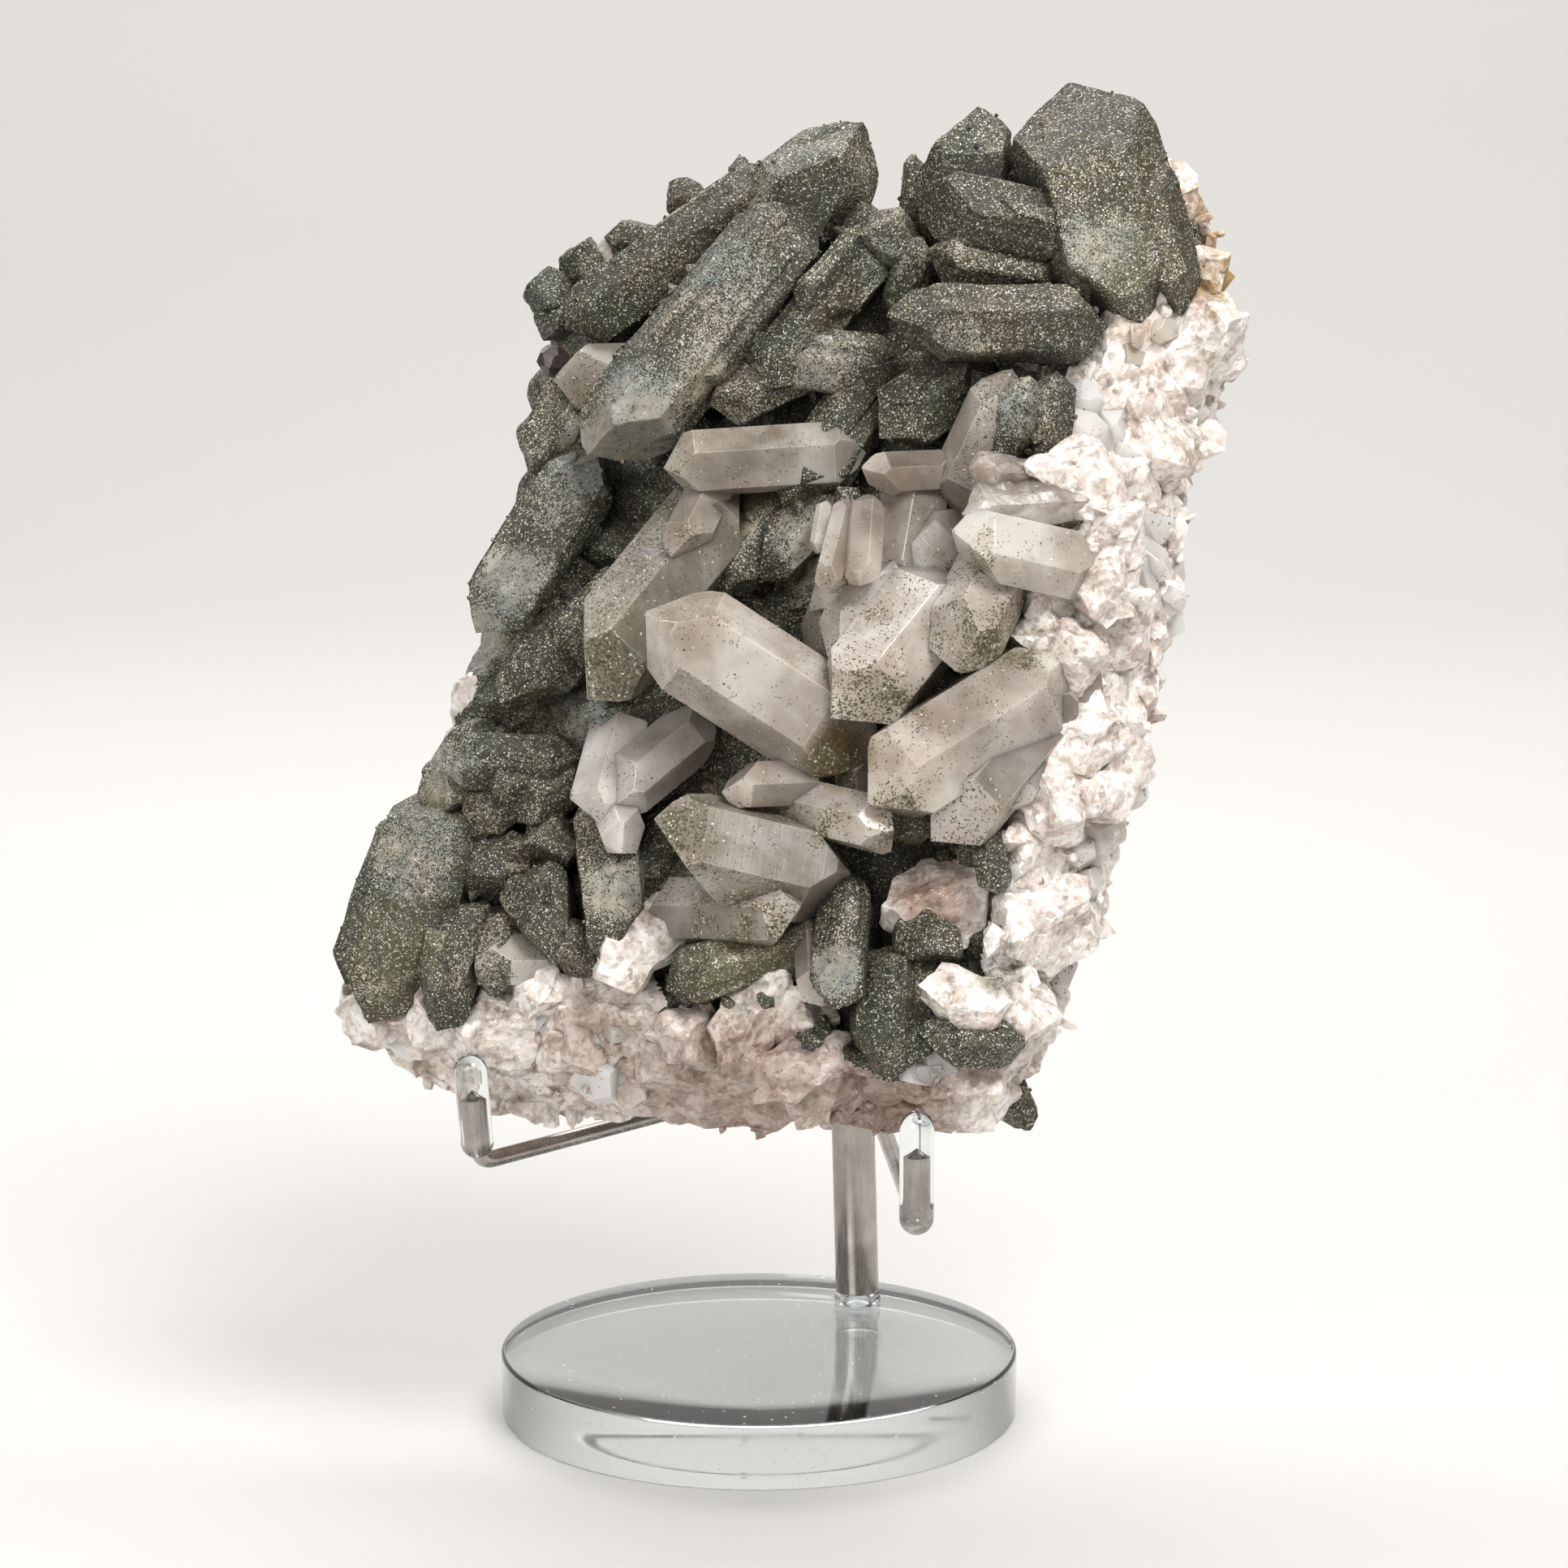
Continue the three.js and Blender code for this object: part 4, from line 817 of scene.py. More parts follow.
GRAIN = np.array([(1, 0, 0), (-1, 0, 0), (0, 1, 0), (0, -1, 0), (0, 0, 1), (0, 0, -1)], float)
GRAIN_FACES = np.array(
    [(0, 2, 4), (2, 1, 4), (1, 3, 4), (3, 0, 4), (2, 0, 5), (1, 2, 5), (3, 1, 5), (0, 3, 5)]
)


def grains_on(skin, count, least, most, seed):
    """Loose eight-faced grains on a skin, each turned and stretched by its own numbers."""
    out = corner_normals(skin)
    n = np.arange(count)
    at = (scatter(n, seed) * len(skin.points)).astype(int)
    radius = least + (most - least) * scatter(n, seed + 1) ** 2
    stretch = 0.7 + 0.6 * np.stack([scatter(n, seed + k) for k in (2, 3, 4)], axis=1)
    axis = unit(np.stack([scatter(n, seed + k) - 0.5 for k in (5, 6, 7)], axis=1) + 1e-3)
    across = unit(np.cross(axis, (0.11, 0.73, 0.51)))
    turned = np.stack([axis, across, np.cross(axis, across)], axis=1)
    shape = (GRAIN[None] * stretch[:, None] * radius[:, None, None]) @ turned
    points = shape + (skin.points[at] + out[at] * 0.25 * radius[:, None])[:, None]
    triangles = (GRAIN_FACES[None] + (n * 6)[:, None, None]).reshape(-1, 3)
    return Skin(points.reshape(-1, 3), triangles)


# ---- How closed in a place is ----

class Hollows:
    """A block of one millimetre cells that says how much rock is near each place.

    Every cell inside a crystal or the plate is 1. The block is blurred by a bell curve as a product of its
    Fourier transforms, so that a flat face reads about a half, an edge less and a hollow more.
    """

    LOW = np.array([-72, -76, -44])
    SIZE = (136, 164, 80)

    def __init__(self, bodies, spread):
        grid = np.stack(np.meshgrid(*(np.arange(n) for n in self.SIZE), indexing="ij"), -1) + self.LOW
        filled = self.in_plate(grid)
        for body in bodies:
            middle = (body.foot + body.top) / 2
            half = np.linalg.norm(body.top - body.foot) / 2 + 1.6 * body.apothem
            low = np.maximum(np.floor(middle - half - self.LOW).astype(int), 0)
            high = np.minimum(np.ceil(middle + half - self.LOW).astype(int), self.SIZE)
            part = tuple(slice(a, b) for a, b in zip(low, high))
            points = grid[part]
            filled[part] |= body.inside(points.reshape(-1, 3)).reshape(points.shape[:3])
        waves = np.fft.rfftn(filled.astype(float))
        turns = [np.fft.fftfreq(n) for n in self.SIZE[:2]] + [np.fft.rfftfreq(self.SIZE[2])]
        square = sum(t**2 for t in np.meshgrid(*turns, indexing="ij"))
        self.near = np.fft.irfftn(waves * np.exp(-2 * (math.pi * spread) ** 2 * square), s=self.SIZE)

    def in_plate(self, grid):
        """Inside the plate: nearer its middle than a line drawn from back edge to waist to front edge."""
        angles = np.arange(OUTLINE_STEPS) / OUTLINE_STEPS * 2 * math.pi
        outlines = [np.stack(reach_of(o, angles), axis=1) for o in (BACK_RIM, WAIST, FRONT_RIM)]
        away = grid[..., :2] - PLATE_MIDDLE
        turns = np.arctan2(away[..., 1], away[..., 0]) / (2 * math.pi)
        number = np.round(turns * OUTLINE_STEPS).astype(int) % OUTLINE_STEPS
        (rb, hb), (rw, hw), (rf, hf) = (np.moveaxis(o[number], -1, 0) for o in outlines)
        w = grid[..., 2]
        lower = rb + (rw - rb) * (w - hb) / (hw - hb)
        upper = rw + (rf - rw) * (w - hw) / (hf - hw)
        limit = np.where(w < hw, lower, upper)
        front = np.where(np.hypot(away[..., 0], away[..., 1]) < 0.84 * rf, -3, hf)
        return (np.hypot(away[..., 0], away[..., 1]) < limit) & (w > hb) & (w < front)

    def at(self, points):
        """The blurred value at places between cells, blended on each axis."""
        p = np.clip(points - self.LOW, 0, np.array(self.SIZE) - 1.001)
        low = np.floor(p).astype(int)
        t = p - low
        total = np.zeros(len(points))
        for corner in itertools.product((0, 1), repeat=3):
            i, j, k = (low + corner).T
            total += self.near[i, j, k] * np.prod(np.where(corner, t, 1 - t), axis=1)
        return total


# ---- Colours and materials ----

def linear(code):
    """The linear colour of an sRGB hex code."""
    parts = np.array([int(code[n : n + 2], 16) for n in (1, 3, 5)]) / 255
    parts = np.where(parts <= 0.04045, parts / 12.92, ((parts + 0.055) / 1.055) ** 2.4)
    return (*parts.tolist(), 1)


def add(tree, kind, inputs=None, stops=None, **settings):
    """Adds a node. Each input is a value or another node's socket. Stops are a ramp's places and colours."""
    node = tree.nodes.new("ShaderNode" + kind)
    for name, value in settings.items():
        setattr(node, name, value)
    for name, value in (inputs or {}).items():
        if isinstance(value, bpy.types.NodeSocket):
            tree.links.new(value, node.inputs[name])
        else:
            node.inputs[name].default_value = value
    if stops:
        ramp = node.color_ramp
        while len(ramp.elements) < len(stops):
            ramp.elements.new(1)
        for element, (position, colour) in zip(ramp.elements, stops):
            element.position = position
            element.color = linear(colour) if isinstance(colour, str) else (colour, colour, colour, 1)
    return node


def new_material(name):
    material = bpy.data.materials.new(name)
    material.use_nodes = True
    tree = material.node_tree
    tree.nodes.clear()
    output = add(tree, "OutputMaterial")
    place_of = add(tree, "TexCoord").outputs["Object"]
    return material, tree, output, place_of


def blend(tree, share, first, second, kind="MIX"):
    """A mix of two colours by a share."""
    return add(tree, "Mix", {0: share, 6: first, 7: second}, data_type="RGBA", blend_type=kind).outputs[2]


def per_metre(millimetres):
    return 1000 / millimetres


def chlorite_coat():
    """Chlorite: a crust of tiny dark green scales on quartz, each scale a flat glint turned its own way.

    To the eye it is sparkling sand: olive grey and brown grey with white glints, painted into its colour as painted
    highlights, and darkened in its hollows by painted shade. It thins out in places, where grey quartz shows between
    the scales. They are 0.1 mm on the stone and drawn 0.16 mm, the finest that shows.
    """
    material, tree, output, where = new_material("chlorite_crust_on_quartz")
    marks = add(tree, "Attribute", attribute_name="marks")
    mark = add(tree, "SeparateColor", {0: marks.outputs["Color"]})
    closed, face = (add(tree, "Attribute", attribute_name=n).outputs["Fac"] for n in ("closed_in", "face_lot"))
    scales = add(tree, "TexVoronoi", {"Vector": where, "Scale": per_metre(0.16)})
    lot = add(tree, "SeparateColor", {0: scales.outputs["Color"]})
    broad = add(tree, "TexNoise", {"Vector": where, "Scale": per_metre(8), "Detail": 5, "Roughness": 0.65})
    clumps = add(tree, "TexNoise", {"Vector": where, "Scale": per_metre(1.4), "Detail": 4, "Roughness": 0.7})
    grain = add(
        tree, "ValToRGB", {0: lot.outputs[0]},
        [(0, "#1d2014"), (0.3, "#353727"), (0.6, "#504f3c"), (0.82, "#6f6b54"), (0.95, "#918b72")],
    ).outputs[0]
    tint = add(
        tree, "ValToRGB", {0: broad.outputs[0]},
        [(0.32, "#66765c"), (0.44, "#7c7e64"), (0.56, "#8c8163"), (0.68, "#957c5b")],
    ).outputs[0]
    colour = blend(tree, 0.62, grain, tint, "OVERLAY")
    tan = blend(tree, 0.7, grain, linear("#a98f66"), "OVERLAY")
    colour = blend(tree, mark.outputs[1], colour, tan)
    moss = blend(tree, 0.35, grain, linear("#77774a"))
    colour = blend(tree, mark.outputs[2], colour, moss)
    # Painted highlight: a few scales are painted near-white as glints of light.
    glint = add(tree, "MapRange", {0: lot.outputs[0], 1: 0.92, 2: 0.95, 3: 0, 4: 1}).outputs[0]
    colour = blend(tree, glint, colour, linear("#dedbd0"))
    stone = add(
        tree, "ValToRGB", {0: broad.outputs[0]}, [(0.34, "#858b87"), (0.5, "#959287"), (0.66, "#a89e8c")]
    ).outputs[0]
    bare = add(tree, "Math", {0: mark.outputs[0], 1: clumps.outputs[0]}, operation="MULTIPLY").outputs[0]
    bare = add(tree, "MapRange", {0: bare, 1: 0.05, 2: 0.42, 3: 0, 4: 0.85}).outputs[0]
    thin = add(tree, "MapRange", {0: broad.outputs[0], 1: 0.46, 2: 0.7, 3: 0, 4: 0.5}).outputs[0]
    thin = add(tree, "Math", {0: thin, 1: face}, operation="MULTIPLY").outputs[0]
    cover = add(tree, "Math", {0: 0.97, 1: bare}, operation="SUBTRACT").outputs[0]
    cover = add(tree, "Math", {0: cover, 1: thin}, operation="SUBTRACT").outputs[0]
    here = add(tree, "Math", {0: lot.outputs[1], 1: cover}, operation="LESS_THAN").outputs[0]
    colour = blend(tree, here, stone, colour)
    clump = add(tree, "ValToRGB", {0: clumps.outputs[0]}, [(0.36, 0.8), (0.62, 1.12)]).outputs[0]
    colour = blend(tree, 1, colour, clump, "MULTIPLY")
    shade = add(tree, "MapRange", {0: face, 3: 0.66, 4: 1.08}).outputs[0]
    colour = blend(tree, 1, colour, shade, "MULTIPLY")
    # Painted shade: the coat's colour is darkened where the place is closed in, in hollows and between crystals.
    hollow = add(
        tree, "ValToRGB", {0: closed},
        [(0.17, "#ffffff"), (0.42, "#d2cdbf"), (0.7, "#7d745d"), (1, "#544b34")],
    ).outputs[0]
    colour = blend(tree, 1, colour, hollow, "MULTIPLY")
    uneven = add(tree, "MapRange", {0: here, 3: 0.06, 4: 0.5}).outputs[0]
    turned = add(tree, "VectorMath", {0: scales.outputs["Color"], 1: (-0.5, -0.5, -0.5)}, operation="ADD")
    turned = add(tree, "VectorMath", {0: turned.outputs[0], "Scale": uneven}, operation="SCALE")
    soft = add(tree, "Bump", {"Strength": uneven, "Distance": 0.0003, "Height": clumps.outputs[0]})
    bump = add(
        tree, "Bump",
        {"Strength": uneven, "Distance": 0.00015, "Height": scales.outputs["Distance"], "Normal": soft.outputs[0]},
        invert=True,
    )
    turned = add(tree, "VectorMath", {0: turned.outputs[0], 1: bump.outputs[0]}, operation="ADD")
    turned = add(tree, "VectorMath", {0: turned.outputs[0]}, operation="NORMALIZE")
    gloss = add(tree, "ValToRGB", {0: lot.outputs[2]}, [(0.1, 0.32), (0.35, 0.55), (0.8, 0.8)]).outputs[0]
    shader = add(
        tree, "BsdfPrincipled",
        {"Base Color": colour, "Roughness": gloss, "Normal": turned.outputs[0], "IOR": 1.58},
    )
    tree.links.new(shader.outputs[0], output.inputs[0])
    return material


def bare_quartz(name, cloud, clearness, tint):
    """Quartz: rock crystal with clouds of tiny bubbles inside, and glassy faces with fine growth lines.

    To the eye it is a pale, half clear body that lets light in, each face a little lighter or darker, with
    short dark olive flecks of chlorite, thick where two crystals meet. Growth lines are 0.3 mm apart.
    """
    material, tree, output, where = new_material(name)
    marks = add(tree, "Attribute", attribute_name="marks")
    mark = add(tree, "SeparateColor", {0: marks.outputs["Color"]})
    kept = ("closed_in", "dust", "along", "tone", "rim")
    closed, dust, along, tone, rim = (add(tree, "Attribute", attribute_name=n).outputs["Fac"] for n in kept)
    veils = add(tree, "TexNoise", {"Vector": where, "Scale": per_metre(13), "Detail": 4, "Roughness": 0.55})
    body = add(
        tree, "ValToRGB", {0: veils.outputs[0]},
        [(0.34, cloud[0]), (0.5, cloud[1]), (0.66, cloud[2])],
    ).outputs[0]
    body = blend(tree, 1, body, tone, "MULTIPLY")
    # The body is darker towards the root: 1.06 at the tip down to 0.86 at 24 mm along.
    darker_towards_root = add(tree, "MapRange", {0: along, 1: 0, 2: 24, 3: 1.06, 4: 0.86}).outputs[0]
    body = blend(tree, 1, body, darker_towards_root, "MULTIPLY")
    greenish = add(tree, "MapRange", {0: tone, 1: 0.86, 2: 0.5, 3: 0, 4: 1}).outputs[0]
    body = blend(tree, greenish, body, linear("#d6d8c9"), "MULTIPLY")
    wisps = add(tree, "TexNoise", {"Vector": where, "Scale": per_metre(7), "Detail": 4, "Distortion": 0.3})
    wisp = add(tree, "ValToRGB", {0: wisps.outputs[0]}, [(0.48, 0), (0.57, 0.14), (0.6, 0.12), (0.7, 0)]).outputs[0]
    body = blend(tree, wisp, body, linear("#fdf9f4"))
    # Painted highlight: the ground edges are blended a little towards white.
    painted_edge_highlight = add(tree, "Math", {0: rim, 1: 0.22}, operation="MULTIPLY").outputs[0]
    body = blend(tree, painted_edge_highlight, body, linear("#fffaf2"))
    clear = add(tree, "MapRange", {0: veils.outputs[0], 1: 0.35, 2: 0.65, 3: clearness[1], 4: clearness[0]}).outputs[0]
    clean = add(tree, "MapRange", {0: dust, 1: 0, 2: 0.09, 3: 0.3, 4: 0}).outputs[0]
    clear = add(tree, "Math", {0: clear, 1: clean}, operation="ADD").outputs[0]
    bent = add(tree, "TexNoise", {"Vector": where, "Scale": per_metre(0.5), "Detail": 1})
    bent = add(tree, "VectorMath", {0: bent.outputs["Color"], "Scale": 0.0006}, operation="SCALE")
    bent = add(tree, "VectorMath", {0: where, 1: bent.outputs[0]}, operation="ADD")
    grains = add(tree, "TexVoronoi", {"Vector": bent.outputs[0], "Scale": per_metre(0.27)})
    grain = add(tree, "SeparateColor", {0: grains.outputs["Color"]})
    patches = add(tree, "TexNoise", {"Vector": where, "Scale": per_metre(3.4), "Detail": 4})
    thick = add(tree, "MapRange", {0: patches.outputs[0], 1: 0.36, 2: 0.64, 3: -0.1, 4: 0.14}).outputs[0]
    thick = add(tree, "Math", {0: thick, 1: dust}, operation="ADD").outputs[0]
    meeting = add(tree, "MapRange", {0: closed, 1: 0.5, 2: 0.82, 3: 0, 4: 1}).outputs[0]
    meeting = add(tree, "Math", {0: meeting, 1: mark.outputs[2]}, operation="ADD").outputs[0]
    meeting = add(tree, "Math", {0: meeting, 1: patches.outputs[0]}, operation="MULTIPLY").outputs[0]
    thick = add(tree, "Math", {0: thick, 1: meeting}, operation="ADD").outputs[0]
    here = add(tree, "Math", {0: grain.outputs[0], 1: thick}, operation="LESS_THAN").outputs[0]
    spread = add(tree, "Math", {0: thick, 1: 0.5, 2: 0.34}, operation="MULTIPLY_ADD").outputs[0]
    small = add(tree, "Math", {0: grains.outputs["Distance"], 1: spread}, operation="LESS_THAN").outputs[0]
    speck = add(tree, "Math", {0: here, 1: small}, operation="MULTIPLY").outputs[0]
    # Dark olive flecks of chlorite; the top of the ramp paints a few flecks pale as painted glints.
    fleck_and_glint_colour = add(
        tree, "ValToRGB", {0: grain.outputs[1]},
        [(0, "#3a3724"), (0.5, "#56533a"), (0.9, "#78745a"), (0.98, "#cfcabb")],
    ).outputs[0]
    stain = blend(tree, 1, body, linear("#b39a6c"), "MULTIPLY")
    stained = add(tree, "Math", {0: meeting, 1: 0.8, 2: mark.outputs[1]}, operation="MULTIPLY_ADD", use_clamp=True)
    body = blend(tree, stained.outputs[0], body, stain)
    colour = blend(tree, speck, body, fleck_and_glint_colour)
    solid = add(tree, "Math", {0: 1.0, 1: speck}, operation="SUBTRACT").outputs[0]
    through = add(tree, "Math", {0: clear, 1: solid}, operation="MULTIPLY").outputs[0]
    lines = add(tree, "TexNoise", {"W": along, "Scale": 3.2, "Detail": 4, "Roughness": 0.65}, noise_dimensions="1D")
    worn = add(tree, "TexNoise", {"Vector": where, "Scale": per_metre(3), "Detail": 5})
    face = add(tree, "Bump", {"Strength": 0.3, "Distance": 0.0001, "Height": lines.outputs[0]})
    uneven = {"Strength": 0.2, "Distance": 0.0003, "Height": worn.outputs[0], "Normal": face.outputs[0]}
    face = add(tree, "Bump", uneven)
    face = add(tree, "Bump", {"Strength": 0.2, "Distance": 0.0001, "Height": speck, "Normal": face.outputs[0]})
    gloss = add(tree, "MapRange", {0: worn.outputs[0], 1: 0.3, 2: 0.7, 3: 0.06, 4: 0.26}).outputs[0]
    gloss = add(tree, "Math", {0: speck, 1: 0.6, 2: gloss}, operation="MULTIPLY_ADD").outputs[0]
    shader = add(
        tree, "BsdfPrincipled",
        {
            "Base Color": colour, "Roughness": gloss, "IOR": 1.544, "Transmission Weight": through,
            "Normal": face.outputs[0], "Subsurface Weight": 0.5, "Subsurface Radius": (1, 0.92, 0.85),
            "Subsurface Scale": 0.004,
        },
    )
    tree.links.new(shader.outputs[0], output.inputs[0])
    inside = add(tree, "VolumeAbsorption", {"Color": linear(tint), "Density": 14.0})
    tree.links.new(inside.outputs[0], output.inputs[1])
    return material


def broken_matrix():
    """Massive quartz, broken: sugary white crystal faces of a millimetre or so, each turned its own way.

    To the eye it is bright white to cream with glassy glints, rust stains, and green dust in the hollows.
    """
    material, tree, output, where = new_material("broken_white_quartz_matrix")
    marks = add(tree, "Attribute", attribute_name="marks")
    mark = add(tree, "SeparateColor", {0: marks.outputs["Color"]})
    closed, face = (add(tree, "Attribute", attribute_name=n).outputs["Fac"] for n in ("closed_in", "face_lot"))
    broad = add(tree, "TexNoise", {"Vector": where, "Scale": per_metre(5), "Detail": 6, "Roughness": 0.66})
    mixed = add(tree, "Math", {0: face, 1: 0.42, 2: broad.outputs[0]}, operation="MULTIPLY_ADD").outputs[0]
    body = add(
        tree, "ValToRGB", {0: mixed},
        [(0.42, "#b4a79d"), (0.56, "#dfd5cb"), (0.7, "#f5efe9"), (0.94, "#fffdfb")],
    ).outputs[0]
    bent = add(tree, "TexNoise", {"Vector": where, "Scale": per_metre(0.8), "Detail": 2})
    bent = add(tree, "VectorMath", {0: bent.outputs["Color"], "Scale": 0.0009}, operation="SCALE")
    bent = add(tree, "VectorMath", {0: where, 1: bent.outputs[0]}, operation="ADD").outputs[0]
    cleavage = add(tree, "TexVoronoi", {"Vector": bent, "Scale": per_metre(0.7)})
    one = add(tree, "SeparateColor", {0: cleavage.outputs["Color"]})
    shade = add(
        tree, "ValToRGB", {0: one.outputs[0]}, [(0, "#d0c9c4"), (0.25, "#ece7e3"), (0.5, "#fdfbf9"), (1, "#ffffff")]
    ).outputs[0]
    panes = add(tree, "TexVoronoi", {"Vector": bent, "Scale": per_metre(2.4)})
    pane = add(tree, "SeparateColor", {0: panes.outputs["Color"]}).outputs[0]
    pane = add(tree, "ValToRGB", {0: pane}, [(0, "#dad3d2"), (0.3, "#f4f0ee"), (0.6, "#ffffff")]).outputs[0]
    shade = blend(tree, 1, shade, pane, "MULTIPLY")
    colour = blend(tree, 1, body, shade, "MULTIPLY")
    rose = blend(tree, marks.outputs["Alpha"], colour, linear("#b3a197"), "MULTIPLY")
    rusty = add(tree, "TexNoise", {"Vector": where, "Scale": per_metre(3), "Detail": 5, "Roughness": 0.7})
    rust = add(tree, "MapRange", {0: rusty.outputs[0], 1: 0.4, 2: 0.62, 3: 0, 4: 1}).outputs[0]
    rust = add(tree, "Math", {0: rust, 1: mark.outputs[1]}, operation="MULTIPLY").outputs[0]
    colour = blend(tree, rust, rose, linear("#a8895a"))
    green = add(tree, "MapRange", {0: closed, 1: 0.5, 2: 0.85, 3: 0, 4: 0.6}).outputs[0]
    green = add(tree, "Math", {0: green, 1: mark.outputs[2]}, operation="ADD").outputs[0]
    spots = add(tree, "MapRange", {0: rusty.outputs[0], 1: 0.62, 2: 0.4, 3: 0, 4: 1}).outputs[0]
    green = add(tree, "Math", {0: green, 1: spots}, operation="MULTIPLY", use_clamp=True).outputs[0]
    dirt = add(
        tree, "ValToRGB", {0: one.outputs[1]}, [(0, "#3e4030"), (0.5, "#66664c"), (1, "#8c8a6c")]
    ).outputs[0]
    colour = blend(tree, green, colour, dirt)
    turned = add(tree, "VectorMath", {0: cleavage.outputs["Color"], 1: (-0.5, -0.5, -0.5)}, operation="ADD")
    turned = add(tree, "VectorMath", {0: turned.outputs[0], "Scale": 0.34}, operation="SCALE")
    fine = add(tree, "TexNoise", {"Vector": where, "Scale": per_metre(0.5), "Detail": 4})
    bump = add(tree, "Bump", {"Strength": 0.35, "Distance": 0.0003, "Height": fine.outputs[0]})
    turned = add(tree, "VectorMath", {0: turned.outputs[0], 1: bump.outputs[0]}, operation="ADD")
    turned = add(tree, "VectorMath", {0: turned.outputs[0]}, operation="NORMALIZE")
    gloss = add(tree, "ValToRGB", {0: one.outputs[2]}, [(0, 0.14), (0.4, 0.32), (1, 0.55)]).outputs[0]
    shader = add(
        tree, "BsdfPrincipled",
        {
            "Base Color": colour, "Roughness": gloss, "IOR": 1.544, "Normal": turned.outputs[0],
            "Subsurface Weight": 0.15, "Subsurface Radius": (1, 0.9, 0.8), "Subsurface Scale": 0.0012,
        },
    )
    tree.links.new(shader.outputs[0], output.inputs[0])
    return material


def dark_crystal():
    """Garnet: a dark red-brown crystal ball with small dull faces."""
    material, tree, output, where = new_material("dark_red_garnet")
    broad = add(tree, "TexNoise", {"Vector": where, "Scale": per_metre(1.2), "Detail": 4})
    colour = add(tree, "ValToRGB", {0: broad.outputs[0]}, [(0.35, "#1c0f10"), (0.6, "#331b1d"), (0.75, "#573a3b")])
    bump = add(tree, "Bump", {"Strength": 0.5, "Distance": 0.0002, "Height": broad.outputs[0]})
    shader = add(
        tree, "BsdfPrincipled",
        {"Base Color": colour.outputs[0], "Roughness": 0.38, "IOR": 1.79, "Normal": bump.outputs[0]},
    )
    tree.links.new(shader.outputs[0], output.inputs[0])
    return material


def clear_acrylic(name, dustiness, roughness):
    """Acrylic, cast and polished: a clear body with bright edges, and a little dust on it."""
    material, tree, output, where = new_material(name)
    grains = add(tree, "TexVoronoi", {"Vector": where, "Scale": per_metre(0.9)})
    grain = add(tree, "SeparateColor", {0: grains.outputs["Color"]})
    rare = add(tree, "Math", {0: grain.outputs[0], 1: dustiness}, operation="LESS_THAN").outputs[0]
    small = add(tree, "Math", {0: grains.outputs["Distance"], 1: 0.2}, operation="LESS_THAN").outputs[0]
    speck = add(tree, "Math", {0: rare, 1: small}, operation="MULTIPLY").outputs[0]
    colour = blend(tree, speck, linear("#f7fafa"), linear("#d8d4cc"))
    solid = add(tree, "Math", {0: 1.0, 1: speck}, operation="SUBTRACT").outputs[0]
    smear = add(tree, "TexNoise", {"Vector": where, "Scale": per_metre(14), "Detail": 4})
    gloss = add(tree, "MapRange", {0: smear.outputs[0], 1: 0.35, 2: 0.7, 3: roughness, 4: roughness + 0.05})
    gloss = add(tree, "Math", {0: speck, 1: 0.5, 2: gloss.outputs[0]}, operation="MULTIPLY_ADD").outputs[0]
    shader = add(
        tree, "BsdfPrincipled",
        {"Base Color": colour, "Roughness": gloss, "IOR": 1.49, "Transmission Weight": solid},
    )
    tree.links.new(shader.outputs[0], output.inputs[0])
    return material


def drawn_steel():
    """Stainless steel, drawn: fine lines along the tube and wires, drawn 0.15 mm apart, and a satin shine."""
    material, tree, output, where = new_material("drawn_stainless_steel")
    stretched = add(tree, "Mapping", {"Vector": where, "Scale": (1, 1, 0.04)}).outputs[0]
    lines = add(tree, "TexNoise", {"Vector": stretched, "Scale": per_metre(0.3), "Detail": 3})
    wear = add(tree, "TexNoise", {"Vector": where, "Scale": per_metre(5), "Detail": 4})
    colour = add(tree, "ValToRGB", {0: wear.outputs[0]}, [(0.3, "#958e88"), (0.7, "#b9b2ac")]).outputs[0]
    gloss = add(tree, "MapRange", {0: lines.outputs[0], 1: 0.3, 2: 0.7, 3: 0.18, 4: 0.34}).outputs[0]
    bump = add(tree, "Bump", {"Strength": 0.15, "Distance": 0.00005, "Height": lines.outputs[0]})
    shader = add(
        tree, "BsdfPrincipled",
        {"Base Color": colour, "Metallic": 1.0, "Roughness": gloss, "Normal": bump.outputs[0]},
    )
    tree.links.new(shader.outputs[0], output.inputs[0])
    return material


# ---- Making pieces ----

FACE_ANGLE = math.radians(26)


def patches_at(points, patches):
    """How strong a set of patches is at each point: strength times (1 - (distance / radius)^2), the largest."""
    best = np.zeros(len(points))
    for right, up, radius, strength in patches:
        square = ((points[:, 0] - right) ** 2 + (points[:, 1] - up) ** 2) / radius**2
        best = np.maximum(best, strength * np.clip(1.25 * (1 - square), 0, 1))
    return best


def mesh_of(name, points, triangles, smooth):
    mesh = bpy.data.meshes.new(name)
    mesh.vertices.add(len(points))
    mesh.vertices.foreach_set("co", (points / 1000).astype(np.float32).ravel())
    mesh.loops.add(len(triangles) * 3)
    mesh.loops.foreach_set("vertex_index", triangles.astype(np.int32).ravel())
    mesh.polygons.add(len(triangles))
    mesh.polygons.foreach_set("loop_start", np.arange(0, len(triangles) * 3, 3, dtype=np.int32))
    mesh.polygons.foreach_set("use_smooth", np.full(len(triangles), smooth))
    mesh.update(calc_edges=True)
    mesh.validate()
    return mesh


def put(name, mesh, material, slot, *nodes):
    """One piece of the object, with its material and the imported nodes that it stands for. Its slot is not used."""
    piece = bpy.data.objects.new(name, mesh)
    bpy.context.scene.collection.objects.link(piece)
    mesh.materials.append(material)
    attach(piece, "root")
    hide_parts(*nodes)
    return piece


def numbers(mesh, name, values, domain="POINT"):
    mesh.attributes.new(name, "FLOAT", domain).data.foreach_set("value", values.astype(np.float32))


